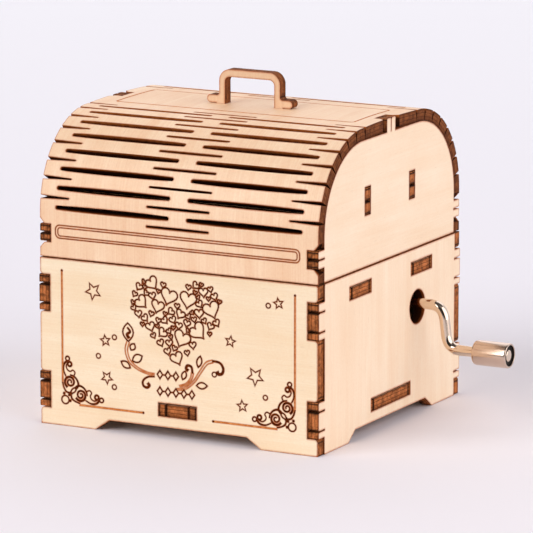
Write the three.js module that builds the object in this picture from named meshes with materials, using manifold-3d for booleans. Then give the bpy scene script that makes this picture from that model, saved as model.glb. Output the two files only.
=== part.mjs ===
// Hand-cranked music box: a finger-jointed plywood casket with a lid bent over two slotted bends,
// and a small comb-and-cylinder movement hung under its deck.
// Millimetres. +Z up, -Y is the front, +X is the crank's side.
import * as THREE from 'three';
import { mergeVertices } from 'three/addons/utils/BufferGeometryUtils.js';
import Module from 'manifold-3d';

const wasm = await Module();
wasm.setup();

// ---- Driving dimensions -------------------------------------------------------------------------
// All places below are measured from the bottom centre of the lower box.

const PLY = 3;                  // plywood thickness
const KERF = 0.05;              // room left by the laser on each side of a tab
const REACH = 60;               // more than any piece's half size, for cutting tools

// Lower box
const BOX_HALF_WIDTH = 39;      // front and back panels, along X
const BOX_HALF_DEPTH = 39.5;    // outer faces of the front and back panels, along Y
const BOX_HEIGHT = 42.5;
const SIDE_FACE = 39.26;        // outer face of a side panel, a little proud of the front panel's edge
const FINGERS = [[4.4, 13.5], [29, 38.2]];   // heights of the side panels' tabs
const FOOT_TOP = 2.75;          // height of the cut-out between two feet
const FRONT_FOOT = [19.35, 23.4];            // half width of that cut-out at its top and at the floor
const SIDE_FOOT = [19.6, 23.5];
const BASE_Z = 5.5;             // underside of the base plate
const BASE_TAB_FRONT = 5.3;     // half width of its tabs
const BASE_TAB_SIDE = 10.95;
const DECK_Z = 36;              // underside of the deck plate
const DECK_TAB = [11.15, 22.95];             // from the middle, along Y

// Lid
const LID_Z = 42.8;             // lower edge
const LID_HALF_WIDTH = 39;
const LID_HALF_DEPTH = 39.3;
const BEND_R = 24;              // outer radius of the sheet's two bends
const BEND_Z = 53.7;            // height of the bends' centres
const BEND_Y = LID_HALF_DEPTH - BEND_R;
const TOP_BOW = 0.35;           // the top swells this much between the bends
const LID_FINGER = [46.6, 51];  // heights of the lid sides' front and rear tabs
const TOP_FINGER = 2.35;        // half width of their top tab
const BRACE_Y = [-12.8, 11.9];
const BRACE_Z = [52.6, 65.6];
const BRACE_TAB_Z = [55.7, 62.45];

// Slots of the living hinges. Rows are counted along the sheet, from where a bend starts.
const ROW_PITCH = 4.93;
const LONG_ROW = { first: 1.7, count: 8, width: 1.1, slot: [2.45, 34.6] };
const SHORT_ROW = { first: -0.8, count: 9, width: 0.6, slot: 8.8, edgeSlot: 31 };

// Handle
const HANDLE_FOOT_Z = 78.15;
const HANDLE_TOP_Z = 86.9;
const HANDLE_TAB = [6.2, 9.6];
const HANDLE_TAB_Z = 75.2;
const HANDLE_LEG = [7, 8.65];
const HANDLE_BAR_Z = 85;        // underside of the bar
const HANDLE_CORNERS = [1.4, 3];             // inner and outer radius under and over the bar's ends
const HANDLE_FOOT_X = 12.1;
const HANDLE_FOOT_HEIGHT = 2;
const HANDLE_FILLET = 0.7;

// Crank
const CRANK_Y = 14.8;
const CRANK_Z = 28.3;
const CRANK_HOLE_R = 4.43;
const CRANK_HOLE_Z = 27.4;
const ROD_R = 1.35;
const JOURNAL_R = 1.15;         // the rod is turned down where it runs in the frame's lugs
const JOURNAL_END_X = 16.7;
const ROD_END_X = 65;
const ROD_START_X = 1.5;
const ARM_TOP_X = 46.5;
const ARM_FOOT_X = 47.9;
const THROW = 11;               // from the crank's axis to the knob's axis
const ROD_BEND = 3.6;           // length of each bend's corner
const KNOB_X = 55.6;
const KNOB_LENGTH = 9.6;
const KNOB_R = 3.2;
const KNOB_BACK_R = 2.5;        // flat end face, before its rounded corner
const KNOB_RIM_R = 2.62;
const KNOB_RECESS = 1.4;
const KNOB_BORE_R = 1.42;
const PEENED_R = 1.52;          // the rod's flattened end, which keeps the knob on
const RUNNING_BORE_R = 1.22;    // bore that the rod's journal turns in

// Movement
const CYLINDER_X = 10;
const CYLINDER_Y = [-11.5, 9.5];
const CYLINDER_R = 6.5;
const CYLINDER_WALL = 0.6;
const PIN_HEIGHT = 0.6;
const TRACKS = 18;
const TRACK_PITCH = 1.1;
const TRACK_START_Y = -10.35;
const ARBOR_R = 0.8;
const ARBOR_BORE_R = 0.87;
const MODULE_MM = 0.6;
const WHEEL_TEETH = 16;
const WORM_PITCH_R = 2.1;
const TOOTH_ROOM = 0.1;         // extra centre distance between worm and wheel
const WHEEL_WIDTH = 3;
const WHEEL_BORE_R = 0.85;      // bore of the wheel and the caps
const ARBOR_Y = [-16.5, 20.5];
const WORM_ROOT_R = 1.55;
const WORM_TOP = 0.5;           // height of the thread above its pitch radius
const CAP_WIDTH = 1.2;
const FRAME_Z = 34;             // lower face of the frame's plate
const FRAME_TOP = 35.95;
const FRAME_X = [-22, 22];
const FRAME_Y = [-18, 26];
const SHOULDER = { x: [-21, -9.5], y: [-12, 10] };   // carries the comb
const CRANK_LUGS = [[3.9, 6.1], [13.9, 16.4]];       // one on each side of the worm
const CRANK_LUG_HALF = 2.5;
const CRANK_LUG_Z = 25.9;
const ARBOR_LUG = { x: [7, 13], y: [-15.6, -13.4], z: 18.4 };
const BRACKET_Y = [18, 19.3];
const BRACKET_FOOT = { end: 25.4, thickness: 1.4 };
const COMB_Z = 20.9;
const COMB_THICKNESS = 0.8;
const COMB_GAP = 0.3;           // from the pins' tips to the comb's tips
const COMB_BACK_X = -20.5;
const COMB_ROOT_X = [-9, -3];   // roots of the longest and the shortest tooth
const COMB_EDGE = 1.6;          // from an end tooth's middle to the comb's end
const TOOTH_WIDTH = 0.8;

// Screws: shank radius and length, head radius and height, and the places of their axes
const MOUNTING_SCREW = [1.15, 4.8, 2.3, 1.1];
const COMB_SCREW = [1, 6, 2, 1.2];
const BRACKET_SCREW = [0.8, 2.9, 1.6, 1];
const MOUNTING_SCREWS = [[-17, -13], [-17, 21], [19, -13]];
const COMB_SCREWS = [[-16.5, -7], [-16.5, 5]];
const BRACKET_SCREW_Y = 22.4;
const SCREW_ROOM = 0.15;        // between a shank and the hole it passes through

// Hinges
const HINGE_X = [-22, 22];
const HINGE_HALF = 6;
const HINGE_Y = 40.9;
const HINGE_Z = 42.65;
const KNUCKLE_R = 1.3;
const KNUCKLE_BORE_R = 0.64;
const HINGE_PIN_R = 0.55;
const MIDDLE_KNUCKLE = 2.7;     // half length of the upper leaf's knuckle
const KNUCKLE_GAP = 0.3;
const LEAF_THICKNESS = 0.7;
const LEAF_LENGTH = 9;
const LEAF_SCREW_X = 4;
const LEAF_SCREW_Z = 5.6;
const LEAF_NECK = 1.45;         // from the axis to where a leaf is full width

// Sizes worked out from the ones above
const PITCH = Math.PI * MODULE_MM;
const WHEEL_R = MODULE_MM * WHEEL_TEETH / 2;
const CYLINDER_Z = CRANK_Z - WORM_PITCH_R - WHEEL_R - TOOTH_ROOM;
const BEND_LENGTH = BEND_R * Math.PI / 2;
const SHEET_START = LID_Z - BEND_Z;
const SHEET_MIDDLE = BEND_LENGTH + BEND_Y;

// The part's own origin is the middle of its bounding box, at the floor.
const CENTRE_X = (KNOB_X + KNOB_LENGTH - SIDE_FACE) / 2;
const CENTRE_Y = (HINGE_Y + KNUCKLE_R - BOX_HALF_DEPTH) / 2;

// ---- Materials ----------------------------------------------------------------------------------

function finish(color, roughness, metalness) {
  return () => new THREE.MeshStandardMaterial({ color, roughness, metalness });
}

const paleWood = finish('#f3dcc0', 0.75, 0);
const warmWood = finish('#efcfae', 0.75, 0);
const nickel = finish('#c9c6c2', 0.25, 1);
const steel = finish('#8d9096', 0.35, 1);
const brass = finish('#c9a455', 0.3, 1);
const zinc = finish('#a9abad', 0.5, 1);
const nylon = finish('#eeeae0', 0.6, 0);

// ---- Solids -------------------------------------------------------------------------------------

function closedForm(geometry) {
  const plain = geometry.clone();
  plain.deleteAttribute('normal');
  plain.deleteAttribute('uv');
  return mergeVertices(plain, 1e-4);
}

function signedVolume(geometry) {
  const at = geometry.getAttribute('position');
  const order = geometry.getIndex().array;
  const [a, b, c] = [new THREE.Vector3(), new THREE.Vector3(), new THREE.Vector3()];
  let six = 0;
  for (let i = 0; i < order.length; i += 3) {
    a.fromBufferAttribute(at, order[i]);
    b.fromBufferAttribute(at, order[i + 1]);
    c.fromBufferAttribute(at, order[i + 2]);
    six += a.dot(b.cross(c));
  }
  return six / 6;
}

// Turns the faces of a closed form outward, whichever way its outline ran.
function outward(geometry) {
  const form = closedForm(geometry);
  if (signedVolume(form) < 0) {
    const order = form.getIndex().array;
    for (let i = 0; i < order.length; i += 3) {
      [order[i], order[i + 1]] = [order[i + 1], order[i]];
    }
  }
  form.computeVertexNormals();
  return form;
}

function toManifold(geometry) {
  const form = outward(geometry);
  const vertProperties = Float32Array.from(form.getAttribute('position').array);
  const triVerts = Uint32Array.from(form.getIndex().array);
  return new wasm.Manifold(new wasm.Mesh({ numProp: 3, vertProperties, triVerts }));
}

function toGeometry(manifold) {
  const mesh = manifold.getMesh();
  const geometry = new THREE.BufferGeometry();
  geometry.setAttribute('position', new THREE.BufferAttribute(mesh.vertProperties, 3));
  geometry.setIndex(new THREE.BufferAttribute(mesh.triVerts, 1));
  geometry.computeVertexNormals();
  return geometry;
}

function joined(parts) {
  let solid = toManifold(parts[0]);
  for (const part of parts.slice(1)) {
    solid = solid.add(toManifold(part));
  }
  return toGeometry(solid);
}

function cut(body, tools) {
  let solid = toManifold(body);
  for (const tool of tools) {
    solid = solid.subtract(toManifold(tool));
  }
  return toGeometry(solid);
}

function block([x0, x1], [y0, y1], [z0, z1]) {
  const box = new THREE.BoxGeometry(x1 - x0, y1 - y0, z1 - z0);
  return box.translate((x0 + x1) / 2, (y0 + y1) / 2, (z0 + z1) / 2);
}

// A round bar from one end to the other along a main axis.
function bar(axis, radius, from, to, sides, [u, v]) {
  const cylinder = new THREE.CylinderGeometry(radius, radius, to - from, sides);
  const middle = (from + to) / 2;
  if (axis === 'x') {
    return cylinder.rotateZ(-Math.PI / 2).translate(middle, u, v);
  }
  if (axis === 'y') {
    return cylinder.translate(u, middle, v);
  }
  return cylinder.rotateX(Math.PI / 2).translate(u, v, middle);
}

// A closed outline from its right half, listed from the bottom to the top.
function mirrored(half) {
  const left = half.map(([u, v]) => [-u, v]).reverse();
  return [...half, ...left];
}

function rectangle([u0, u1], [v0, v1]) {
  return [[u0, v0], [u1, v0], [u1, v1], [u0, v1]];
}

function circle(u, v, radius, sides) {
  const points = [];
  for (let i = 0; i < sides; i += 1) {
    const angle = 2 * Math.PI * i / sides;
    points.push([u + radius * Math.cos(angle), v + radius * Math.sin(angle)]);
  }
  return points;
}

function arc(u, v, radius, fromDegrees, toDegrees, steps) {
  const points = [];
  for (let i = 0; i <= steps; i += 1) {
    const angle = THREE.MathUtils.degToRad(fromDegrees + (toDegrees - fromDegrees) * i / steps);
    points.push([u + radius * Math.cos(angle), v + radius * Math.sin(angle)]);
  }
  return points;
}

function asVectors(points) {
  return points.map(([u, v]) => new THREE.Vector2(u, v));
}

function extruded(outline, thickness) {
  const shape = new THREE.Shape(asVectors(outline));
  return new THREE.ExtrudeGeometry(shape, { depth: thickness, bevelEnabled: false });
}

function plate(outline, holes, thickness) {
  const through = holes.map((hole) => extruded(hole, thickness + 2).translate(0, 0, -1));
  return cut(extruded(outline, thickness), through);
}

// A turned piece about the Y axis, from (radius, height) points.
function turned(profile, sides) {
  return new THREE.LatheGeometry(asVectors(profile), sides);
}

// ---- Placing ------------------------------------------------------------------------------------

function piece(name, geometry, material) {
  const mesh = new THREE.Mesh(outward(geometry), material());
  mesh.name = name;
  return mesh;
}

// Stands a plate up across the box: its outline is in X and Z, its back face at the given Y.
function across(mesh, backY) {
  mesh.rotation.x = Math.PI / 2;
  mesh.position.y = backY;
  return mesh;
}

// Stands a plate up from front to back: its outline is in Y and Z, its left face at the given X.
function fromFrontToBack(mesh, leftX) {
  mesh.rotation.set(Math.PI / 2, Math.PI / 2, 0);
  mesh.position.x = leftX;
  return mesh;
}

// Lays a plate flat: its outline is in X and Y, its lower face at the given Z.
function flat(mesh, lowerZ) {
  mesh.position.z = lowerZ;
  return mesh;
}

function groupOf(meshes) {
  const group = new THREE.Group();
  group.add(...meshes);
  return group;
}

// ---- Lower box ----------------------------------------------------------------------------------

function frontOutline() {
  const half = [[FRONT_FOOT[0], FOOT_TOP], [FRONT_FOOT[1], 0], [BOX_HALF_WIDTH, 0]];
  const notchX = SIDE_FACE - PLY - KERF;
  for (const [low, high] of FINGERS) {
    half.push([BOX_HALF_WIDTH, low - KERF], [notchX, low - KERF]);
    half.push([notchX, high + KERF], [BOX_HALF_WIDTH, high + KERF]);
  }
  half.push([BOX_HALF_WIDTH, BOX_HEIGHT]);
  return mirrored(half);
}

function sideOutline() {
  const inner = BOX_HALF_DEPTH - PLY - KERF;
  const half = [[SIDE_FOOT[0], FOOT_TOP], [SIDE_FOOT[1], 0], [inner, 0]];
  for (const [low, high] of FINGERS) {
    half.push([inner, low], [BOX_HALF_DEPTH, low]);
    half.push([BOX_HALF_DEPTH, high], [inner, high]);
  }
  half.push([inner, BOX_HEIGHT]);
  return mirrored(half);
}

function slotFor([low, high], lowerZ) {
  return rectangle([low - KERF, high + KERF], [lowerZ - KERF, lowerZ + PLY + KERF]);
}

function baseSlot(halfWidth) {
  return slotFor([-halfWidth, halfWidth], BASE_Z);
}

function hingeScrewHoles(z, faceY) {
  const holes = [];
  for (const hingeX of HINGE_X) {
    for (const side of [-LEAF_SCREW_X, LEAF_SCREW_X]) {
      holes.push(bar('y', 0.6, faceY - 2.7, faceY + 1, 10, [hingeX + side, z]));
    }
  }
  return holes;
}

function frontAndBack() {
  const front = plate(frontOutline(), [baseSlot(BASE_TAB_FRONT)], PLY);
  const back = front.clone().rotateX(Math.PI / 2).translate(0, BOX_HALF_DEPTH, 0);
  const pilotHoles = hingeScrewHoles(HINGE_Z - LEAF_SCREW_Z, BOX_HALF_DEPTH);
  return [
    across(piece('front_panel', front, paleWood), PLY - BOX_HALF_DEPTH),
    piece('back_panel', cut(back, pilotHoles), paleWood),
  ];
}

function sides() {
  const slots = [
    baseSlot(BASE_TAB_SIDE),
    slotFor(DECK_TAB, DECK_Z),
    slotFor([-DECK_TAB[1], -DECK_TAB[0]], DECK_Z),
  ];
  const crankHole = circle(CRANK_Y, CRANK_HOLE_Z, CRANK_HOLE_R, 28);
  const left = plate(sideOutline(), slots, PLY);
  const right = plate(sideOutline(), [...slots, crankHole], PLY);
  return [
    fromFrontToBack(piece('left_side_panel', left, paleWood), -SIDE_FACE),
    fromFrontToBack(piece('right_side_panel', right, paleWood), SIDE_FACE - PLY),
  ];
}

function basePlate() {
  const x = SIDE_FACE - PLY - KERF;
  const y = BOX_HALF_DEPTH - PLY - KERF;
  const half = [
    [BASE_TAB_FRONT, -BOX_HALF_DEPTH], [BASE_TAB_FRONT, -y], [x, -y],
    [x, -BASE_TAB_SIDE], [SIDE_FACE, -BASE_TAB_SIDE], [SIDE_FACE, BASE_TAB_SIDE], [x, BASE_TAB_SIDE],
    [x, y], [BASE_TAB_FRONT, y], [BASE_TAB_FRONT, BOX_HALF_DEPTH],
  ];
  return flat(piece('base_plate', plate(mirrored(half), [], PLY), paleWood), BASE_Z);
}

function deckPlate() {
  const x = SIDE_FACE - PLY - KERF;
  const y = BOX_HALF_DEPTH - PLY - KERF;
  const half = [[x, -y]];
  for (const [low, high] of [[-DECK_TAB[1], -DECK_TAB[0]], DECK_TAB]) {
    half.push([x, low], [SIDE_FACE, low], [SIDE_FACE, high], [x, high]);
  }
  half.push([x, y]);
  const holes = MOUNTING_SCREWS.map(([u, v]) => circle(u, v, MOUNTING_SCREW[0] + 0.2, 12));
  return flat(piece('deck_plate', plate(mirrored(half), holes, PLY), paleWood), DECK_Z);
}

// ---- Lid ----------------------------------------------------------------------------------------

// A point of the lid sheet's cross-section, so far along its outer face and so deep below it.
function sheetPoint(along, depth) {
  if (along > SHEET_MIDDLE) {
    const [y, z] = sheetPoint(2 * SHEET_MIDDLE - along, depth);
    return [-y, z];
  }
  if (along <= 0) {
    return [depth - LID_HALF_DEPTH, BEND_Z + along];
  }
  if (along < BEND_LENGTH) {
    const angle = along / BEND_R;
    const radius = BEND_R - depth;
    return [-BEND_Y - radius * Math.cos(angle), BEND_Z + radius * Math.sin(angle)];
  }
  const y = along - SHEET_MIDDLE;
  const bow = TOP_BOW * (1 - (y / BEND_Y) ** 2);
  return [y, BEND_Z + BEND_R - depth + bow];
}

// The strips of one half of the sheet, from its lower edge to the middle of the top.
// Each strip ends at a distance along the sheet and lists the stretches of X that are cut out of it.
function hingeStrips() {
  const rows = [];
  const [inner, outer] = LONG_ROW.slot;
  for (let i = 0; i < LONG_ROW.count; i += 1) {
    const at = LONG_ROW.first + ROW_PITCH * i;
    rows.push({ at, width: LONG_ROW.width, gaps: [[-outer, -inner], [inner, outer]] });
  }
  for (let i = 0; i < SHORT_ROW.count; i += 1) {
    const at = SHORT_ROW.first + ROW_PITCH * i;
    const gaps = [[-SHORT_ROW.slot, SHORT_ROW.slot]];
    if (i > 0) {
      gaps.push([-REACH, -SHORT_ROW.edgeSlot], [SHORT_ROW.edgeSlot, REACH]);
    }
    rows.push({ at, width: SHORT_ROW.width, gaps });
  }
  rows.sort((a, b) => a.at - b.at);
  const strips = [];
  for (const row of rows) {
    strips.push({ end: row.at - row.width / 2, gaps: [] });
    strips.push({ end: row.at + row.width / 2, gaps: row.gaps });
  }
  for (const y of [-10, -5, 0]) {
    strips.push({ end: SHEET_MIDDLE + y, gaps: [] });
  }
  return strips;
}

function sheetGrid() {
  const [longIn, longOut] = LONG_ROW.slot;
  const right = [longIn, SHORT_ROW.slot, SHORT_ROW.edgeSlot, longOut, LID_HALF_WIDTH];
  const columns = [...right.map((x) => -x).reverse(), ...right];
  const half = hingeStrips();
  const stations = [SHEET_START, ...half.map((strip) => strip.end)];
  const mirroredEnds = stations.slice(0, -1).reverse().map((s) => 2 * SHEET_MIDDLE - s);
  const gaps = half.map((strip) => strip.gaps);
  return {
    columns,
    stations: [...stations, ...mirroredEnds],
    gaps: [...gaps, ...gaps.slice().reverse()],
  };
}

// The bent sheet, made cell by cell: each cell has an outer and an inner face, and a wall wherever
// the next cell is cut away.
function slottedSheet() {
  const { columns, stations, gaps } = sheetGrid();
  const rowsOf = stations.length;
  const columnsOf = columns.length;
  const points = [];
  for (const depth of [0, PLY]) {
    for (const along of stations) {
      const [y, z] = sheetPoint(along, depth);
      for (const x of columns) {
        points.push(x, y, z);
      }
    }
  }
  const corner = (row, column, layer) => (layer * rowsOf + row) * columnsOf + column;
  const isWood = (row, column) => {
    if (row < 0 || row >= rowsOf - 1 || column < 0 || column >= columnsOf - 1) {
      return false;
    }
    const x = (columns[column] + columns[column + 1]) / 2;
    return !gaps[row].some(([from, to]) => x > from && x < to);
  };
  const faces = [];
  const quad = (a, b, c, d) => faces.push(a, b, c, a, c, d);
  for (let row = 0; row < rowsOf - 1; row += 1) {
    for (let column = 0; column < columnsOf - 1; column += 1) {
      if (!isWood(row, column)) {
        continue;
      }
      const out = [[0, 0], [0, 1], [1, 1], [1, 0]].map(([r, c]) => corner(row + r, column + c, 0));
      const inn = [[0, 0], [0, 1], [1, 1], [1, 0]].map(([r, c]) => corner(row + r, column + c, 1));
      quad(...out);
      quad(inn[3], inn[2], inn[1], inn[0]);
      const neighbours = [[row - 1, column], [row, column + 1], [row + 1, column], [row, column - 1]];
      neighbours.forEach(([r, c], side) => {
        if (!isWood(r, c)) {
          const next = (side + 1) % 4;
          quad(out[next], out[side], inn[side], inn[next]);
        }
      });
    }
  }
  const geometry = new THREE.BufferGeometry();
  geometry.setAttribute('position', new THREE.Float32BufferAttribute(points, 3));
  geometry.setIndex(faces);
  return geometry;
}

function lidSheet() {
  const [low, high] = LID_FINGER;
  const fingerZ = [low - KERF, high + KERF];
  const topY = [-TOP_FINGER - KERF, TOP_FINGER + KERF];
  const handleY = [-PLY / 2 - KERF, PLY / 2 + KERF];
  const tools = hingeScrewHoles(HINGE_Z + LEAF_SCREW_Z, LID_HALF_DEPTH);
  for (const side of [-1, 1]) {
    const edge = [side * (LID_HALF_WIDTH - PLY - KERF), side * REACH].sort((a, b) => a - b);
    tools.push(block(edge, [-REACH, REACH], fingerZ));
    tools.push(block(edge, topY, [BEND_Z, REACH + BEND_Z]));
    const slot = HANDLE_TAB.map((x) => side * x).sort((a, b) => a - b);
    tools.push(block([slot[0] - KERF, slot[1] + KERF], handleY, [BEND_Z, REACH + BEND_Z]));
  }
  return piece('lid_sheet', cut(slottedSheet(), tools), warmWood);
}

function lidSideOutline() {
  const inner = LID_HALF_DEPTH - PLY - KERF;
  const topZ = BEND_Z + BEND_R;
  const [low, high] = LID_FINGER;
  const half = [
    [inner, LID_Z], [inner, low], [LID_HALF_DEPTH, low], [LID_HALF_DEPTH, high], [inner, high],
    ...arc(BEND_Y, BEND_Z, inner - BEND_Y, 0, 90, 14),
    [TOP_FINGER, topZ - PLY - KERF], [TOP_FINGER, topZ + TOP_BOW],
  ];
  return mirrored(half);
}

function lidSides() {
  const halfSlot = PLY / 2 + KERF;
  const slotZ = [BRACE_TAB_Z[0] - KERF, BRACE_TAB_Z[1] + KERF];
  const slots = BRACE_Y.map((y) => rectangle([y - halfSlot, y + halfSlot], slotZ));
  const side = plate(lidSideOutline(), slots, PLY);
  return [
    fromFrontToBack(piece('lid_left_side', side, warmWood), -LID_HALF_WIDTH),
    fromFrontToBack(piece('lid_right_side', side.clone(), warmWood), LID_HALF_WIDTH - PLY),
  ];
}

function lidBraces() {
  const inner = LID_HALF_WIDTH - PLY - KERF;
  const half = [
    [inner, BRACE_Z[0]], [inner, BRACE_TAB_Z[0]], [LID_HALF_WIDTH, BRACE_TAB_Z[0]],
    [LID_HALF_WIDTH, BRACE_TAB_Z[1]], [inner, BRACE_TAB_Z[1]], [inner, BRACE_Z[1]],
  ];
  const names = ['lid_front_brace', 'lid_rear_brace'];
  return names.map((name, i) => {
    const brace = piece(name, plate(mirrored(half), [], PLY), paleWood);
    return across(brace, BRACE_Y[i] + PLY / 2);
  });
}

function lidHandle() {
  const [tabIn, tabOut] = HANDLE_TAB;
  const [legIn, legOut] = HANDLE_LEG;
  const [innerR, outerR] = HANDLE_CORNERS;
  const footR = HANDLE_FOOT_HEIGHT / 2;
  const footTop = HANDLE_FOOT_Z + HANDLE_FOOT_HEIGHT;
  const half = [
    ...arc(legIn - innerR, HANDLE_BAR_Z - innerR, innerR, 90, 0, 3),
    [legIn, HANDLE_FOOT_Z], [tabIn, HANDLE_FOOT_Z], [tabIn, HANDLE_TAB_Z],
    [tabOut, HANDLE_TAB_Z], [tabOut, HANDLE_FOOT_Z],
    ...arc(HANDLE_FOOT_X - footR, HANDLE_FOOT_Z + footR, footR, -90, 90, 6),
    [legOut + HANDLE_FILLET, footTop], [legOut, footTop + HANDLE_FILLET],
    ...arc(legOut - outerR, HANDLE_TOP_Z - outerR, outerR, 0, 90, 6),
  ];
  return across(piece('lid_handle', plate(mirrored(half), [], PLY), paleWood), PLY / 2);
}

// ---- Hinges on the back -------------------------------------------------------------------------

function knuckle(fromX, toX) {
  const ring = plate(circle(0, 0, KNUCKLE_R, 20), [circle(0, 0, KNUCKLE_BORE_R, 14)], toX - fromX);
  return ring.rotateY(Math.PI / 2).translate(fromX, HINGE_Y, HINGE_Z);
}

function screwHolesIn(leaf, z) {
  const holes = [-LEAF_SCREW_X, LEAF_SCREW_X].map((x) => bar('y', 0.65, 35, 45, 10, [x, z]));
  return cut(leaf, holes);
}

function lowerLeaf() {
  const face = BOX_HALF_DEPTH + KERF;
  const thick = [face, face + LEAF_THICKNESS];
  const arm = MIDDLE_KNUCKLE + KNUCKLE_GAP;
  const neck = [HINGE_Z - LEAF_NECK - 0.5, HINGE_Z - 0.4];
  const leaf = joined([
    block([-HINGE_HALF, HINGE_HALF], thick, [HINGE_Z - LEAF_LENGTH, HINGE_Z - LEAF_NECK]),
    block([-HINGE_HALF, -arm], thick, neck),
    block([arm, HINGE_HALF], thick, neck),
    knuckle(-HINGE_HALF, -arm),
    knuckle(arm, HINGE_HALF),
  ]);
  return screwHolesIn(leaf, HINGE_Z - LEAF_SCREW_Z);
}

function upperLeaf() {
  const face = LID_HALF_DEPTH + KERF;
  const thick = [face, face + LEAF_THICKNESS];
  const neck = [HINGE_Z + 0.4, HINGE_Z + LEAF_NECK + 0.5];
  const leaf = joined([
    block([-HINGE_HALF, HINGE_HALF], thick, [HINGE_Z + LEAF_NECK, HINGE_Z + LEAF_LENGTH]),
    block([-MIDDLE_KNUCKLE, MIDDLE_KNUCKLE], thick, neck),
    knuckle(-MIDDLE_KNUCKLE, MIDDLE_KNUCKLE),
  ]);
  return screwHolesIn(leaf, HINGE_Z + LEAF_SCREW_Z);
}

// A round-headed screw along Y, its head outside the leaf, its shank in the plywood.
function leafScrew(name, x, faceY, z) {
  const shank = 0.5;
  const profile = [[0, -2.5], [shank, -2.5], [shank, 0.05], [1.15, 0.05], [0.95, 0.4], [0.4, 0.6], [0, 0.6]];
  const screw = piece(name, turned(profile, 10), brass);
  screw.position.set(x, faceY + LEAF_THICKNESS + KERF, z);
  return screw;
}

function hingeSide(name, leaf, faceY, z) {
  const meshes = [];
  HINGE_X.forEach((x, i) => {
    const side = ['left', 'right'][i];
    const mesh = piece(`hinge_${name}_leaf_${side}`, leaf.clone(), brass);
    mesh.position.x = x;
    meshes.push(mesh);
    [-LEAF_SCREW_X, LEAF_SCREW_X].forEach((dx, j) => {
      meshes.push(leafScrew(`${name}_leaf_screw_${side}_${j + 1}`, x + dx, faceY, z));
    });
  });
  return meshes;
}

function hingePins() {
  return HINGE_X.map((x, i) => {
    const length = 2 * HINGE_HALF - 0.2;
    const rod = new THREE.CylinderGeometry(HINGE_PIN_R, HINGE_PIN_R, length, 12);
    const pin = piece(`hinge_pin_${['left', 'right'][i]}`, rod, brass);
    pin.rotation.z = Math.PI / 2;
    pin.position.set(x, HINGE_Y, HINGE_Z);
    return pin;
  });
}

// ---- Movement -----------------------------------------------------------------------------------

function movementFrame() {
  const underPlate = FRAME_Z + 0.5;
  const lugY = [CRANK_Y - CRANK_LUG_HALF, CRANK_Y + CRANK_LUG_HALF];
  const solid = joined([
    block(FRAME_X, FRAME_Y, [FRAME_Z, FRAME_TOP]),
    block(SHOULDER.x, SHOULDER.y, [COMB_Z + COMB_THICKNESS + KERF, underPlate]),
    block(ARBOR_LUG.x, ARBOR_LUG.y, [ARBOR_LUG.z, underPlate]),
    ...CRANK_LUGS.map((lugX) => block(lugX, lugY, [CRANK_LUG_Z, underPlate])),
  ]);
  const [frontY, lugBackY] = [ARBOR_LUG.y[0] - 1, ARBOR_LUG.y[1] + 1];
  const holes = [
    bar('x', RUNNING_BORE_R, 0, CRANK_LUGS[1][1] + 1, 24, [CRANK_Y, CRANK_Z]),
    bar('y', ARBOR_BORE_R, frontY, lugBackY, 20, [CYLINDER_X, CYLINDER_Z]),
    screwHoleUp(BRACKET_SCREW[0] + 0.1, [CYLINDER_X, BRACKET_SCREW_Y]),
    ...MOUNTING_SCREWS.map((place) => screwHoleUp(MOUNTING_SCREW[0] + SCREW_ROOM, place)),
  ];
  const combHoles = COMB_SCREWS.map((place) => {
    return bar('z', COMB_SCREW[0] + SCREW_ROOM, COMB_Z, COMB_Z + COMB_SCREW[1] + 0.6, 12, place);
  });
  return piece('movement_frame', cut(solid, [...holes, ...combHoles]), zinc);
}

// A hole through the frame's plate.
function screwHoleUp(radius, place) {
  return bar('z', radius, FRAME_Z - 4, FRAME_TOP + 4, 12, place);
}

function toneComb() {
  const tip = CYLINDER_X - CYLINDER_R - PIN_HEIGHT - COMB_GAP;
  const [rootX, lastRootX] = COMB_ROOT_X;
  const firstY = TRACK_START_Y - COMB_EDGE;
  const lastY = TRACK_START_Y + TRACK_PITCH * (TRACKS - 1) + COMB_EDGE;
  const outline = [[COMB_BACK_X, firstY], [rootX, firstY]];
  for (let i = 0; i < TRACKS; i += 1) {
    const y = TRACK_START_Y + TRACK_PITCH * i;
    const root = rootX + (lastRootX - rootX) * i / (TRACKS - 1);
    outline.push([root, y - TOOTH_WIDTH / 2], [tip, y - TOOTH_WIDTH / 2]);
    outline.push([tip, y + TOOTH_WIDTH / 2], [root, y + TOOTH_WIDTH / 2]);
  }
  outline.push([rootX, lastY], [COMB_BACK_X, lastY]);
  const holes = COMB_SCREWS.map(([x, y]) => circle(x, y, COMB_SCREW[0] + SCREW_ROOM, 12));
  return flat(piece('tone_comb', plate(outline, holes, COMB_THICKNESS), steel), COMB_Z);
}

// A round-headed screw along Z, with its head's seat at z = 0 and its shank pointing up.
function screwUp(name, [shankR, shankLength, headR, headHeight]) {
  const profile = [
    [0, -headHeight], [headR * 0.7, -headHeight], [headR, -headHeight * 0.5], [headR, 0],
    [shankR, 0], [shankR, shankLength], [0, shankLength],
  ];
  return piece(name, turned(profile, 12).rotateX(Math.PI / 2), steel);
}

function movementScrews() {
  const screws = [];
  COMB_SCREWS.forEach(([x, y], i) => {
    const screw = screwUp(`comb_screw_${i + 1}`, COMB_SCREW);
    screw.position.set(x, y, COMB_Z - KERF);
    screws.push(screw);
  });
  MOUNTING_SCREWS.forEach(([x, y], i) => {
    const screw = screwUp(`mounting_screw_${i + 1}`, MOUNTING_SCREW);
    screw.rotation.x = Math.PI;
    screw.position.set(x, y, DECK_Z + PLY + KERF);
    screws.push(screw);
  });
  const screw = screwUp('bracket_screw', BRACKET_SCREW);
  screw.position.set(CYLINDER_X, BRACKET_SCREW_Y, FRAME_Z - BRACKET_FOOT.thickness - KERF);
  screws.push(screw);
  return screws;
}

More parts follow.
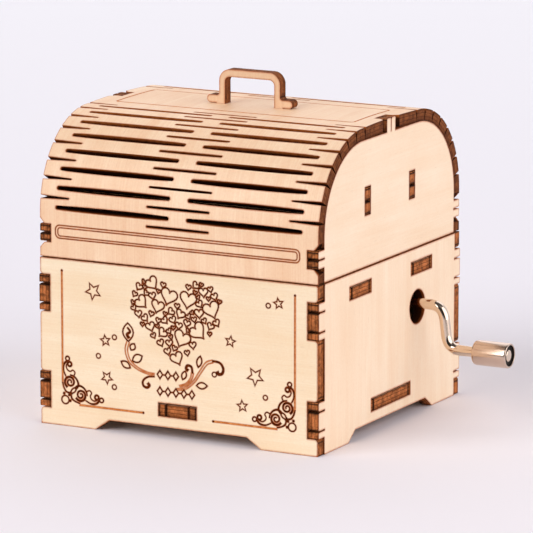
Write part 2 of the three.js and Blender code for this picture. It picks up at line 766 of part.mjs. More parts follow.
function bearingBracket() {
  const footZ = [FRAME_Z - BRACKET_FOOT.thickness, FRAME_Z - KERF];
  const [frontY, backY] = BRACKET_Y;
  const solid = joined([
    block(ARBOR_LUG.x, [frontY, backY], [ARBOR_LUG.z, footZ[1]]),
    block(ARBOR_LUG.x, [frontY, BRACKET_FOOT.end], footZ),
  ]);
  const holes = [
    bar('y', ARBOR_BORE_R, frontY - 1, backY + 1, 20, [CYLINDER_X, CYLINDER_Z]),
    screwHoleUp(BRACKET_SCREW[0] + 0.1, [CYLINDER_X, BRACKET_SCREW_Y]),
  ];
  return piece('bearing_bracket', cut(solid, holes), steel);
}

// The pinned barrel, made about the Y axis from y = 0.
function pinnedBarrel() {
  const length = CYLINDER_Y[1] - CYLINDER_Y[0];
  const inner = CYLINDER_R - CYLINDER_WALL;
  const wall = [[inner, 0], [CYLINDER_R, 0], [CYLINDER_R, length], [inner, length], [inner, 0]];
  const tube = turned(wall, 36);
  const pins = [];
  for (let track = 0; track < TRACKS; track += 1) {
    for (const turn of [0.13, 0.61]) {
      const angle = 2 * Math.PI * (turn + track * 0.382);
      const pin = block([-0.2, 0.2], [-0.2, 0.2], [CYLINDER_R - 0.3, CYLINDER_R + PIN_HEIGHT]);
      pin.rotateY(angle).translate(0, TRACK_START_Y - CYLINDER_Y[0] + TRACK_PITCH * track, 0);
      pins.push(pin);
    }
  }
  return joined([tube, ...pins]);
}

function cylinderCap(name) {
  const r = CYLINDER_R - CYLINDER_WALL - KERF;
  const profile = [
    [WHEEL_BORE_R, 0], [r, 0], [r, CAP_WIDTH], [WHEEL_BORE_R, CAP_WIDTH], [WHEEL_BORE_R, 0],
  ];
  return piece(name, turned(profile, 28), brass);
}

function wheelOutline() {
  const points = [];
  const step = 2 * Math.PI / WHEEL_TEETH;
  const root = WHEEL_R - 0.62;
  const tip = WHEEL_R + 0.45;
  const rootHalf = 0.56 / root;
  const tipHalf = 0.2 / tip;
  for (let tooth = 0; tooth < WHEEL_TEETH; tooth += 1) {
    const middle = Math.PI / 2 + step * (tooth + 0.5);
    for (const [radius, angle] of [[root, -rootHalf], [tip, -tipHalf], [tip, tipHalf], [root, rootHalf]]) {
      points.push([radius * Math.cos(middle + angle), radius * Math.sin(middle + angle)]);
    }
  }
  return points;
}

// The wheel's teeth lean with the worm's thread, so each layer is turned a little about the axis.
function wormWheel() {
  const shape = new THREE.Shape(asVectors(wheelOutline()));
  shape.holes = [new THREE.Path(asVectors(circle(0, 0, WHEEL_BORE_R, 16)))];
  const options = { depth: WHEEL_WIDTH, steps: 2, bevelEnabled: false };
  const blank = new THREE.ExtrudeGeometry(shape, options);
  blank.rotateX(Math.PI / 2).translate(0, WHEEL_WIDTH / 2, 0);
  const lean = PITCH / (2 * Math.PI * WORM_PITCH_R) / WHEEL_R;
  const at = blank.getAttribute('position');
  for (let i = 0; i < at.count; i += 1) {
    const angle = at.getY(i) * lean;
    const [x, z] = [at.getX(i), at.getZ(i)];
    at.setX(i, x * Math.cos(angle) + z * Math.sin(angle));
    at.setZ(i, z * Math.cos(angle) - x * Math.sin(angle));
  }
  return piece('worm_wheel', blank, nylon);
}

function cylinderGroup() {
  const barrel = piece('pin_cylinder', pinnedBarrel(), brass);
  barrel.position.y = CYLINDER_Y[0];
  const frontCap = cylinderCap('cylinder_front_cap');
  frontCap.position.y = CYLINDER_Y[0] + 0.1;
  const rearCap = cylinderCap('cylinder_rear_cap');
  rearCap.position.y = CYLINDER_Y[1] - CAP_WIDTH - 0.1;
  const wheel = wormWheel();
  wheel.position.y = CRANK_Y;
  const rod = new THREE.CylinderGeometry(ARBOR_R, ARBOR_R, ARBOR_Y[1] - ARBOR_Y[0], 16);
  const arbor = piece('cylinder_arbor', rod, steel);
  arbor.position.y = (ARBOR_Y[0] + ARBOR_Y[1]) / 2;
  const group = groupOf([barrel, frontCap, rearCap, wheel, arbor]);
  group.position.set(CYLINDER_X, 0, CYLINDER_Z);
  return group;
}

// ---- Crank --------------------------------------------------------------------------------------
// Made about the crank's axis, which is the group's X axis.

function rodPath() {
  const arm = new THREE.Vector2(ARM_FOOT_X - ARM_TOP_X, -THROW).setLength(ROD_BEND);
  const at = (x, z) => new THREE.Vector3(x, 0, z);
  const path = new THREE.CurvePath();
  const top = [ARM_TOP_X, 0];
  const foot = [ARM_FOOT_X, -THROW];
  const stops = [
    at(JOURNAL_END_X, 0), at(top[0] - ROD_BEND, 0), at(top[0] + arm.x, arm.y),
    at(foot[0] - arm.x, foot[1] - arm.y), at(foot[0] + ROD_BEND, foot[1]),
    at(ROD_END_X - 1, foot[1]),
  ];
  path.add(new THREE.LineCurve3(stops[0], stops[1]));
  path.add(new THREE.QuadraticBezierCurve3(stops[1], at(...top), stops[2]));
  path.add(new THREE.LineCurve3(stops[2], stops[3]));
  path.add(new THREE.QuadraticBezierCurve3(stops[3], at(...foot), stops[4]));
  path.add(new THREE.LineCurve3(stops[4], stops[5]));
  return path;
}

function crankRod() {
  const section = new THREE.Shape(asVectors(circle(0, 0, ROD_R, 10)));
  const options = { steps: 62, bevelEnabled: false, extrudePath: rodPath() };
  const rod = new THREE.ExtrudeGeometry(section, options);
  const journal = bar('x', JOURNAL_R, ROD_START_X, JOURNAL_END_X + 1, 20, [0, 0]);
  const peenedEnd = bar('x', PEENED_R, ROD_END_X - 1.1, ROD_END_X, 16, [0, -THROW]);
  return piece('crank_rod', joined([journal, rod, peenedEnd]), nickel);
}

// A single-start right-handed worm: the radius follows the thread's section, which moves along
// the worm by one pitch in a turn.
function worm() {
  const samples = 10;
  const half = 19;
  const threadTop = WORM_PITCH_R + WORM_TOP;
  const section = (step) => {
    const from = Math.abs(((step % samples) + samples) % samples - samples / 2) * PITCH / samples;
    return THREE.MathUtils.clamp(threadTop - (from - 0.2) / 0.36, WORM_ROOT_R, threadTop);
  };
  const points = [];
  const stations = 2 * half + 1;
  for (const layer of ['outer', 'bore']) {
    for (let i = -half; i <= half; i += 1) {
      for (let j = 0; j < samples; j += 1) {
        const angle = 2 * Math.PI * j / samples;
        const end = Math.abs(i) === half;
        const thread = end ? WORM_ROOT_R : section(i - j - samples / 4 + samples / 2);
        const radius = layer === 'outer' ? thread : RUNNING_BORE_R;
        points.push(i * PITCH / samples, radius * Math.cos(angle), radius * Math.sin(angle));
      }
    }
  }
  const at = (layer, i, j) => (layer * stations + i) * samples + (j % samples);
  const faces = [];
  const quad = (a, b, c, d) => faces.push(a, b, c, a, c, d);
  for (let j = 0; j < samples; j += 1) {
    for (let i = 0; i < stations - 1; i += 1) {
      quad(at(0, i, j), at(0, i + 1, j), at(0, i + 1, j + 1), at(0, i, j + 1));
      quad(at(1, i, j), at(1, i, j + 1), at(1, i + 1, j + 1), at(1, i + 1, j));
    }
    quad(at(0, 0, j), at(0, 0, j + 1), at(1, 0, j + 1), at(1, 0, j));
    const last = stations - 1;
    quad(at(0, last, j), at(1, last, j), at(1, last, j + 1), at(0, last, j + 1));
  }
  const geometry = new THREE.BufferGeometry();
  geometry.setAttribute('position', new THREE.Float32BufferAttribute(points, 3));
  geometry.setIndex(faces);
  const mesh = piece('worm', geometry, steel);
  mesh.position.x = CYLINDER_X;
  return mesh;
}

function crankKnob() {
  const end = KNOB_LENGTH;
  const profile = [
    [KNOB_BORE_R, 0], [KNOB_BACK_R, 0], [2.95, 0.2], [KNOB_R, 0.7],
    [KNOB_R, end - 0.3], [KNOB_R - 0.2, end], [KNOB_RIM_R, end],
    [KNOB_RIM_R, end - KNOB_RECESS], [KNOB_BORE_R, end - KNOB_RECESS], [KNOB_BORE_R, 0],
  ];
  const knob = piece('crank_knob', turned(profile, 24).rotateZ(-Math.PI / 2), nickel);
  knob.position.set(KNOB_X, 0, -THROW);
  return knob;
}

function crankGroup() {
  const group = groupOf([crankRod(), worm(), crankKnob()]);
  group.position.set(0, CRANK_Y, CRANK_Z);
  return group;
}

// ---- The whole music box ------------------------------------------------------------------------

const box = groupOf([
  ...frontAndBack(),
  ...sides(),
  basePlate(),
  deckPlate(),
  movementFrame(),
  toneComb(),
  bearingBracket(),
  ...movementScrews(),
  ...hingeSide('lower', lowerLeaf(), BOX_HALF_DEPTH, HINGE_Z - LEAF_SCREW_Z),
  ...hingePins(),
]);

const lid = groupOf([
  lidSheet(),
  ...lidSides(),
  ...lidBraces(),
  lidHandle(),
  ...hingeSide('upper', upperLeaf(), LID_HALF_DEPTH, HINGE_Z + LEAF_SCREW_Z),
]);

const musicBox = groupOf([box, lid, crankGroup(), cylinderGroup()]);
musicBox.position.set(-CENTRE_X, -CENTRE_Y, 0);

export default musicBox;
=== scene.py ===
import math
import random

import bmesh
import bpy
import numpy as np
from mathutils import Matrix, Vector
from mathutils.geometry import delaunay_2d_cdt


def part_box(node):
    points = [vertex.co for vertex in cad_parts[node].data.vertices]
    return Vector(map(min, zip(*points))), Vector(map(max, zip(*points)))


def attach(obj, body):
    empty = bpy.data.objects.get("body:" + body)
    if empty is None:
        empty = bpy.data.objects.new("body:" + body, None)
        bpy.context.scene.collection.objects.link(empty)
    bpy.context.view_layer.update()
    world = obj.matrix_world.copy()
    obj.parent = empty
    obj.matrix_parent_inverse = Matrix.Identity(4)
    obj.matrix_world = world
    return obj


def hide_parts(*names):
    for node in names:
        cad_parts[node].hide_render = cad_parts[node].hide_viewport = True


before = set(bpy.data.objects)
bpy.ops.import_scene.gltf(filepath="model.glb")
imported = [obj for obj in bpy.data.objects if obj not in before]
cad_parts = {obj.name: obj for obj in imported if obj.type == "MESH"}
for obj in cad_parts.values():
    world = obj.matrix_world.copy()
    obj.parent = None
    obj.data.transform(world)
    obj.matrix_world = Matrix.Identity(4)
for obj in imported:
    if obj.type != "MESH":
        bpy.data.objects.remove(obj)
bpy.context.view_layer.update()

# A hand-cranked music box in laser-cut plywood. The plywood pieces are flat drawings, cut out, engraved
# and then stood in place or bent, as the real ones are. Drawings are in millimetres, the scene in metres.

MM = 0.001

# ---- Driving sizes, millimetres, from the bottom centre of the lower box ----

PLY = 3.0
HALF_WIDTH = 39.0               # of the front and back
HALF_DEPTH = 39.5
BOX_HEIGHT = 42.5
SIDE_FACE = 39.26               # the sides stand a little proud of the front's ends
FIT = 0.12                      # room round a finger
FINGERS = ((4.4, 13.5), (29.0, 38.2))
FINGER_SLITS = (1.85, 2.35)     # from a finger's lower and upper end
SLIT = 0.34
FOOT_TOP = 2.75
FRONT_FOOT = (19.35, 23.4)      # from the middle: the foot's inner edge at its top and at the floor
SIDE_FOOT = (19.6, 23.5)
BASE_Z = 5.5
BASE_TAB_FRONT = 5.3            # half the length of the tab
BASE_TAB_SIDE = 10.95
DECK_Z = 36.0
DECK_TAB = (11.15, 22.95)       # a tab's ends, from the middle
SLOT_SLACK = 0.36               # a slot is this much taller than its tab

LID_Z = 42.8
LID_DEPTH = 39.3
BEND_R = 24.0
BEND_Z = 53.7                   # where the front's flat ends and its bend starts
BEND_Y = LID_DEPTH - BEND_R
BEND_LENGTH = BEND_R * math.pi / 2
SHEET_START = LID_Z - BEND_Z    # the sheet's lower edge, along it from the bend's start
SHEET_MIDDLE = BEND_LENGTH + BEND_Y
TOP_BOW = 0.35                  # how far the top's middle rises
LID_FINGER = (46.6, 51.0)
TOP_FINGER = 2.35               # half the length of the finger at the top
BRACE_Y = (-12.8, 11.9)
BRACE_Z = (52.6, 65.6)
BRACE_TAB_Z = (55.7, 62.45)

ROW_PITCH = 4.93                # the rows of slots over each bend, along the sheet from the bend's start
LONG_ROW = 1.7
LONG_ROWS = 8
LONG_SLOT = (2.45, 34.6)        # a long slot's ends, from the middle
LONG_HALF = (0.52, 0.72)        # half its width, at its ends and in its middle
MIDDLE_ROW = -0.8
MIDDLE_ROWS = 9
MIDDLE_SLOT = 8.8
MIDDLE_HALF = (0.28, 0.34)
WEDGE_ROOT = 31.0
WEDGE_HALF = (0.2, 0.45)        # half its width, at its root and its mouth
SLOT_SHUT = 0.16                # how much of a slot's width is left at the inner face
SLOT_REACH = (0.75, 1.3)        # the wood that closes a slot: the slot's own walls, and as far as it gives

HANDLE_TAB_Z = 75.2
HANDLE_FOOT_Z = 78.15
HANDLE_GRIP_Z = 85.0
HANDLE_TOP_Z = 86.9
HANDLE_LEG = (7.0, 8.65)        # a leg's inner and outer face
HANDLE_TAB = 9.6
HANDLE_TOE = 12.1

CRANK_Y = 14.8
CRANK_Z = 28.3
CRANK_HOLE_Z = 27.4
CRANK_HOLE_R = 4.43
ROD_R = 1.35
JOURNAL_R = 1.15                # the rod is turned down where it runs in the movement
JOURNAL_START = 1.5
JOURNAL_END = 16.7
ARM_TOP = 46.5                  # the two corners of the bent arm
ARM_FOOT = 47.9
ROD_BEND = 3.6                  # length of each bend's corner
THROW = 11.0
ROD_END = 65.0
KNOB_X = 55.6
KNOB_R = 3.2
KNOB_LENGTH = 9.6
KNOB_BORE = 1.42
RECESS_R = 2.68                 # the recess in the knob's end, dark with painted shade
RECESS_X = 9.15

HINGE_X = (-22, 22)
HINGE_HALF = 6.0
HINGE_Y = 40.9
HINGE_Z = 42.65
KNUCKLE_R = 1.3
KNUCKLE_BORE = 0.64
MIDDLE_KNUCKLE = 2.7
KNUCKLE_GAP = 0.3
HINGE_PIN_R = 0.55
LEAF = 0.7
LEAF_LENGTH = 9.0
LEAF_CORNER = 1.1
LEAF_SCREW_X = 4.0
LEAF_SCREW_Z = 5.6

BARREL_X = 10.0
BARREL_Z = 21.3
BARREL_Y = (-11.5, 9.5)
BARREL_R = 6.5
BARREL_WALL = 0.6
FIRST_TRACK_Y = -10.35
TRACKS = 18
TRACK_PITCH = 1.1
PIN_PLACES = 36                 # round each track, of which a few hold a pin
PINS = 10

BORDER_X = 32.75
BORDER_Z = 5.75
BORDER_TOP = 39.6
BORDER_LINE = 0.42
LINE = 0.34
GROOVE = 0.12                   # how deep a line is engraved
LINE_GLOW = 0.26                # toasted wood beside an engraved line
CORNER_SHADE_REACH = 0.4               # how far painted shade reaches along a cut edge from its corners

AIM = (3.15, 1.66, 36.62)       # the point at the middle of the picture
AZIMUTH = 27.868
ELEVATION = 11.515
DISTANCE = 1220.3
LENS = 325.64
DARK_SIDE = 2.0                 # azimuth of the dark end of the room

# ---- Places: the drawings' origin in the frame ----

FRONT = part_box("front_panel")
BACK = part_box("back_panel")
ORIGIN = Vector(((FRONT[0][0] + FRONT[1][0]) / 2, (FRONT[0][1] + BACK[1][1]) / 2, 0))


def at(x, y, z):
    """A place in the frame, from millimetres about the bottom centre of the lower box."""
    return ORIGIN + Vector((x, y, z)) * MM


# ---- Outlines ----

def rounded(corners, steps=5):
    """A closed outline. Each corner is (u, v) or (u, v, radius)."""
    points = []
    for i, corner in enumerate(corners):
        here = Vector(corner[:2])
        if len(corner) == 2:
            points.append(here)
            continue
        to_last = (Vector(corners[i - 1][:2]) - here).normalized()
        to_next = (Vector(corners[(i + 1) % len(corners)][:2]) - here).normalized()
        half = to_last.angle(to_next) / 2
        centre = here + (to_last + to_next).normalized() * (corner[2] / math.sin(half))
        start = here + to_last * (corner[2] / math.tan(half)) - centre
        end = here + to_next * (corner[2] / math.tan(half)) - centre
        turn = math.atan2(start.cross(end), start.dot(end))
        for k in range(steps + 1):
            points.append(centre + Matrix.Rotation(turn * k / steps, 2) @ start)
    return points


def mirrored(half):
    """A closed outline from its right half, listed from the bottom to the top."""
    return list(half) + [(-corner[0],) + tuple(corner[1:]) for corner in reversed(half)]


def rectangle(u0, u1, v0, v1, radius=0):
    tail = (radius,) if radius else ()
    return rounded([(u, v) + tail for u, v in ((u0, v0), (u1, v0), (u1, v1), (u0, v1))])


def circle(u, v, radius, sides=24):
    turn = 2 * math.pi / sides
    return [Vector((u + radius * math.cos(turn * i), v + radius * math.sin(turn * i))) for i in range(sides)]


def arc(u, v, radius, start, end, steps):
    """Points along an arc, from one angle in degrees to another."""
    points = []
    for i in range(steps + 1):
        angle = math.radians(start + (end - start) * i / steps)
        points.append((u + radius * math.cos(angle), v + radius * math.sin(angle)))
    return points


def smooth(points, steps=8):
    """A Catmull-Rom curve through the points."""
    p = [Vector(q) for q in points]
    p = [2 * p[0] - p[1]] + p + [2 * p[-1] - p[-2]]
    curve = []
    for i in range(1, len(p) - 2):
        for k in range(steps):
            t = k / steps
            a = -0.5 * p[i - 1] + 1.5 * p[i] - 1.5 * p[i + 1] + 0.5 * p[i + 2]
            b = p[i - 1] - 2.5 * p[i] + 2 * p[i + 1] - 0.5 * p[i + 2]
            curve.append(((a * t + b) * t + 0.5 * (p[i + 1] - p[i - 1])) * t + p[i])
    curve.append(p[-2])
    return curve


def offset(loop, distance):
    """The closed loop moved sideways, to the right of its direction."""
    moved = []
    for i, here in enumerate(loop):
        before = (Vector(here) - Vector(loop[i - 1])).normalized()
        after = (Vector(loop[(i + 1) % len(loop)]) - Vector(here)).normalized()
        side = Vector((before.y + after.y, -before.x - after.x))
        if side.length < 1e-6:
            side = Vector((before.y, -before.x))
        side.normalize()
        stretch = max(0.5, side.dot(Vector((before.y, -before.x))))
        moved.append(Vector(here) + side * (distance / stretch))
    return moved


def ring(loop, width):
    """The two loops of a line of that width drawn along a closed outline."""
    return [offset(loop, width / 2), offset(loop, -width / 2)]


def beside(path, width, end_width):
    """The right and left edges of a line drawn along an open path, from one width to another."""
    left, right = [], []
    for i, here in enumerate(path):
        a = Vector(path[max(i - 1, 0)])
        b = Vector(path[min(i + 1, len(path) - 1)])
        run = (b - a).normalized()
        half = (width + (end_width - width) * i / (len(path) - 1)) / 2
        side = Vector((-run.y, run.x)) * half
        left.append(Vector(here) + side)
        right.append(Vector(here) - side)
    return right, left


def ribbon(path, width, end_width=None):
    """The outline of a line drawn along an open path."""
    right, left = beside(path, width, width if end_width is None else end_width)
    return [right + left[::-1]]


# ---- From a drawing to a solid plate ----

FACE, EDGE, DARK_LINE, PALE_LINE, SLOT_WALL = range(5)          # a plate's material slots


def inside(points, loops):
    """Which points the loops enclose, counting a point inside two of them as outside."""
    result = np.zeros(len(points), bool)
    for loop in loops:
        a = np.array([tuple(p)[:2] for p in loop])
        near = np.nonzero(np.all((points > a.min(0)) & (points < a.max(0)), axis=1))[0]
        if len(near) == 0:
            continue
        b = np.roll(a, -1, 0)
        x = points[near, 0][:, None]
        y = points[near, 1][:, None]
        rise = np.where(np.abs(b[:, 1] - a[:, 1]) < 1e-12, 1e-12, b[:, 1] - a[:, 1])
        crossing = a[:, 0] + (y - a[:, 1]) * (b[:, 0] - a[:, 0]) / rise
        hits = ((a[:, 1] > y) != (b[:, 1] > y)) & (x < crossing)
        result[near] ^= hits.sum(1) % 2 == 1
    return result


def triangles(loops, seams):
    """Triangles over the whole drawing that keep every loop and seam as an edge."""
    coords, edges = [], []
    for loop in loops:
        first = len(coords)
        coords += [Vector(tuple(p)[:2]) for p in loop]
        edges += [(first + i, first + (i + 1) % len(loop)) for i in range(len(loop))]
    for a, b in seams:
        edges.append((len(coords), len(coords) + 1))
        coords += [Vector(a), Vector(b)]
    points, _, faces, *_ = delaunay_2d_cdt(coords, edges, [], 0, 1e-5, False)
    points = np.array([tuple(p) for p in points])
    faces = np.array([f for f in faces if len(f) == 3])
    a, b, c = points[faces[:, 0]], points[faces[:, 1]], points[faces[:, 2]]
    area = np.cross(b - a, c - a)
    faces[area < 0] = faces[area < 0][:, ::-1]
    faces = faces[np.abs(area) > 1e-9]
    return points, faces, points[faces].mean(1)


def nearness(points, loops, reach):
    """1 on the loops, falling to 0 at the given distance from them."""
    best = np.full(len(points), reach)
    for loop in loops:
        a = np.array([tuple(p)[:2] for p in loop])
        run = np.roll(a, -1, 0) - a
        length = np.maximum((run ** 2).sum(1), 1e-12)
        near = np.nonzero(np.all((points > a.min(0) - reach) & (points < a.max(0) + reach), axis=1))[0]
        for part in np.array_split(near, max(1, len(near) // 2000)):
            gap = points[part][:, None, :] - a[None]
            t = np.clip((gap * run).sum(2) / length, 0, 1)
            distance = np.sqrt(((gap - t[..., None] * run) ** 2).sum(2)).min(1) if len(part) else []
            best[part] = np.minimum(best[part], distance)
    return 1 - best / reach


def turns_soon(loop, start, step, run):
    """Whether the loop turns by more than 40 degrees from its run within 0.8 mm of one of its points."""
    here = before = Vector(loop[start])
    for k in range(1, 12):
        following = Vector(loop[(start + step * k) % len(loop)])
        if (following - before).length and (following - before).angle(run) > math.radians(40):
            return True
        if (following - here).length > 0.8:
            return False
        before = following
    return False


def ends_marked(loop):
    """The loop with a point near each end of its long straight runs, and the runs' ends at corners."""
    marked, corners = [], []
    loop = [tuple(p)[:2] for p in loop]
    for i, place in enumerate(loop):
        here = Vector(place)
        step = Vector(loop[(i + 1) % len(loop)]) - here
        marked.append(here)
        if step.length > 3 * CORNER_SHADE_REACH:
            marked += [here + step.normalized() * CORNER_SHADE_REACH, here + step - step.normalized() * CORNER_SHADE_REACH]
            if turns_soon(loop, i, -1, -step):
                corners.append(place)
            if turns_soon(loop, (i + 1) % len(loop), 1, step):
                corners.append(tuple(here + step))
    return marked, corners


def in_wood(centres, outline, *holes):
    """Which triangle centres lie inside the outline and outside every hole."""
    wood = inside(centres, [outline])
    for hole in holes:
        wood &= ~inside(centres, [hole])
    return wood


class Skin:
    """A plate's surface as it grows, with what its materials read: flat, scorch and corner."""

    def __init__(self, place, corners):
        self.place = place
        self.corners = corners
        self.index = {}
        self.verts, self.flat, self.scorch, self.corner = [], [], [], []
        self.polygons, self.tones = [], []

    def vertex(self, spot, depth, scorch):
        u, v = spot
        key = (round(u, 4), round(v, 4), round(depth, 3))
        if key not in self.index:
            self.index[key] = len(self.verts)
            self.verts.append(tuple(at(*self.place(u, v, depth))))
            self.flat.append((u, v, depth))
            self.scorch.append(scorch)
            # Painted shade: cut-edge points near a corner are marked for darkening.
            in_corner_shade = False
            if scorch > 0.99 and len(self.corners):
                in_corner_shade = np.hypot(*(self.corners - (u, v)).T).min() < CORNER_SHADE_REACH / 2
            self.corner.append(1.0 if in_corner_shade else 0.0)
        return self.index[key]

    def add(self, tone, *spots):
        self.polygons.append([self.vertex(*spot) for spot in spots])
        self.tones.append(tone)

    def mesh(self, name):
        mesh = bpy.data.meshes.new(name)
        mesh.from_pydata(self.verts, [], self.polygons)
        mesh.polygons.foreach_set("material_index", self.tones)
        for layer, kind, field, values in (("flat", "FLOAT_VECTOR", "vector", self.flat),
                                           ("scorch", "FLOAT", "value", self.scorch),
                                           ("corner", "FLOAT", "value", self.corner)):
            data = mesh.attributes.new(layer, kind, "POINT").data
            data.foreach_set(field, np.array(values, dtype=np.float32).ravel())
        return mesh


def plate(name, outline, holes=(), strokes=(), seams=(), place=None, thickness=PLY, halo=0.55,
          materials=(), smooth_angle=None, slot_walls=False):
    """A plate from its drawing. strokes are (loops, material) engraved lines. place(u, v, depth) gives
    a point's position in millimetres. The drawing's own coordinates are kept for the wood's grain."""
    marked = [ends_marked(loop) for loop in [outline, *holes]]
    bounds = [loop for loop, _ in marked]
    # The corners of the cut edges, where the edge gets painted shade.
    corners = np.array([corner for _, found in marked for corner in found]).reshape(-1, 2)
    # Loops beside the cut edges and the engraved lines, where their toasted wood ends.
    halos = [offset(bounds[0], -halo)]
    halos += [offset(hole, -halo if area_of(hole) < 0 else halo) for hole in bounds[1:]]
    lines = [loop for loops, _ in strokes for loop in loops]
    glows = [glow for loops, _ in strokes for glow in glow_lines(loops)]
    skin = Skin(place, corners)

    # The best face, with its grooves.
    points, faces, centres = triangles(bounds + halos + lines + glows, seams)
    kind = np.zeros(len(faces), int)
    for loops, tone in strokes:
        kind[inside(centres, loops)] = tone
    scorch = np.maximum(nearness(points, bounds, halo), 0.95 * nearness(points, lines, LINE_GLOW))
    # Hole walls that take the slot material, which darkens inward with painted shade.
    on_slot = nearness(points, bounds[1:] if slot_walls else [], 0.02) > 0.5
    level = np.where(kind > 0, GROOVE, 0.0)
    owner = {}
    for i in np.nonzero(in_wood(centres, *bounds))[0]:
        a, b, c = faces[i]
        skin.add(int(kind[i]), *[(points[p], level[i], scorch[p]) for p in (a, b, c)])
        owner.update({(a, b): i, (b, c): i, (c, a): i})

    # The walls: where an edge of a triangle has no neighbour, or a deeper one.
    for (p, q), i in owner.items():
        other = owner.get((q, p))
        if other is None:
            floor, tone = thickness, SLOT_WALL if on_slot[p] and on_slot[q] else EDGE
        elif level[other] > level[i]:
            floor, tone = level[other], int(kind[other])
        else:
            continue
        skin.add(tone, (points[p], level[i], 1), (points[p], floor, 1), (points[q], floor, 1),
                 (points[q], level[i], 1))

    # The other face, which is plain.
    points, faces, centres = triangles(bounds + halos, seams)
    scorch = nearness(points, bounds, halo)
    for a, b, c in faces[in_wood(centres, *bounds)]:
        skin.add(FACE, *[(points[p], thickness, scorch[p]) for p in (c, b, a)])
    return finished(name, skin.mesh(name), materials, smooth_angle)


def glow_lines(loops):
    """The edges of the toasted wood beside an engraved line: outside its outer loop, within its inner."""
    outer = max(loops, key=lambda loop: abs(area_of(loop)))
    glows = []
    for loop in loops:
        outward = LINE_GLOW if area_of(loop) > 0 else -LINE_GLOW
        glows.append(offset(loop, outward if loop is outer else -outward))
    return glows


def area_of(loop):
    """The area inside a loop, below zero when it runs clockwise."""
    total = 0
    for i, p in enumerate(loop):
        q = loop[(i + 1) % len(loop)]
        total += p[0] * q[1] - q[0] * p[1]
    return total / 2


def linked(name, data):
    thing = bpy.data.objects.new(name, data)
    bpy.context.scene.collection.objects.link(thing)
    return thing


def mesh_of(bm, name):
    """The bmesh as a mesh."""
    mesh = bpy.data.meshes.new(name)
    bm.to_mesh(mesh)
    bm.free()
    return mesh


def finished(name, mesh, materials, smooth_angle=None):
    """A piece from its mesh and materials. Edges sharper than smooth_angle stay sharp."""
    for material in materials:
        mesh.materials.append(material)
    if smooth_angle is not None:
        mesh.shade_smooth()
        mesh.set_sharp_from_angle(angle=math.radians(smooth_angle))
    mesh.update()
    mesh.validate()
    return linked(name, mesh)


# ---- Turned and swept metal ----

def rings_to_object(name, rings, closed, materials):
    """A skin over rings of the same number of points. closed joins the last ring to the first, and an
    open skin is capped at each end."""
    count = len(rings[0])
    verts = [tuple(p) for r in rings for p in r]
    faces = []
    pairs = len(rings) if closed else len(rings) - 1
    for i in range(pairs):
        a, b = i * count, (i + 1) % len(rings) * count
        for j in range(count):
            k = (j + 1) % count
            faces.append((a + j, a + k, b + k, b + j))
    if not closed:
        faces += [list(range(count))[::-1], list(range(len(verts) - count, len(verts)))]
    mesh = bpy.data.meshes.new(name)
    mesh.from_pydata(verts, [], faces)
    bm = bmesh.new()
    bm.from_mesh(mesh)
    bmesh.ops.recalc_face_normals(bm, faces=bm.faces)
    bm.to_mesh(mesh)
    bm.free()
    return finished(name, mesh, materials, 35)


def turned(name, profile, centre, axis, materials, sides, closed=False):
    """A turned piece from (radius, distance along the axis) points. axis is "x", "y" or "z"."""
    rings = []
    for radius, along in profile:
        loop = []
        for i in range(sides):
            angle = 2 * math.pi * i / sides
            c, s = radius * math.cos(angle), radius * math.sin(angle)
            step = {"x": (along, c, s), "y": (s, along, c), "z": (c, s, along)}[axis]
            loop.append(at(*(centre[k] + step[k] for k in range(3))))
        rings.append(loop)
    return rings_to_object(name, rings, closed, materials)


def eased(profile, radius):
    """The profile with its corners rounded, except the first and last."""
    steps = 3
    points = [Vector(p) for p in profile]
    result = [points[0]]
    for i in range(1, len(points) - 1):
        a, here, b = points[i - 1], points[i], points[i + 1]
        r = min(radius, (a - here).length * 0.45, (b - here).length * 0.45)
        start = here + (a - here).normalized() * r
        end = here + (b - here).normalized() * r
        for k in range(steps + 1):
            t = k / steps
            result.append(start * (1 - t) ** 2 + here * 2 * t * (1 - t) + end * t ** 2)
    return [tuple(p) for p in result + [points[-1]]]


# ---- Materials ----

def linear(r, g, b):
    """Shader colour from 0 to 255 screen values."""
    def one(v):
        v /= 255
        return v / 12.92 if v <= 0.04045 else ((v + 0.055) / 1.055) ** 2.4
    return (one(r), one(g), one(b), 1)


class Nodes:
    """Short names for building one node tree."""

    def __init__(self, tree):
        self.nodes = tree.nodes
        self.links = tree.links

    def node(self, kind, inputs=None, **settings):
        node = self.nodes.new("ShaderNode" + kind)
        for key, value in settings.items():
            setattr(node, key, value)
        for socket, value in (inputs or {}).items():
            if isinstance(value, bpy.types.NodeSocket):
                self.links.new(value, node.inputs[socket])
            else:
                node.inputs[socket].default_value = value
        return node

    def attribute(self, name, output="Vector"):
        return self.node("Attribute", attribute_name=name).outputs[output]

    def scaled(self, vector, scale):
        return self.node("Mapping", {"Vector": vector, "Scale": scale}).outputs["Vector"]

    def noise(self, vector, scale, detail=3.0, roughness=0.55, distortion=0.0):
        return self.node("TexNoise", {"Vector": vector, "Scale": scale, "Detail": detail,
                                      "Roughness": roughness, "Distortion": distortion}).outputs["Fac"]

    def ramp(self, value, stops, interpolation="LINEAR"):
        node = self.node("ValToRGB", {"Fac": value})
        node.color_ramp.interpolation = interpolation
        elements = node.color_ramp.elements
        while len(elements) < len(stops):
            elements.new(0.5)
        for element, (position, color) in zip(elements, stops):
            element.position = position
            element.color = color if hasattr(color, "__len__") else (color, color, color, 1)
        return node.outputs["Color"]

    def math(self, operation, a, b=0.0, clamp=False):
        return self.node("Math", {0: a, 1: b}, operation=operation, use_clamp=clamp).outputs[0]

    def mix(self, factor, a, b, blend="MIX"):
        return self.node("Mix", {0: factor, 6: a, 7: b}, data_type="RGBA", blend_type=blend).outputs[2]

    def toward(self, place, direction, start, end):
        """0 to 1 as a place goes from start to end in a direction."""
        along = self.node("VectorMath", {0: place, 1: direction}, operation="DOT_PRODUCT").outputs["Value"]
        return self.node("MapRange", {"Value": along, "From Min": start, "From Max": end}).outputs["Result"]


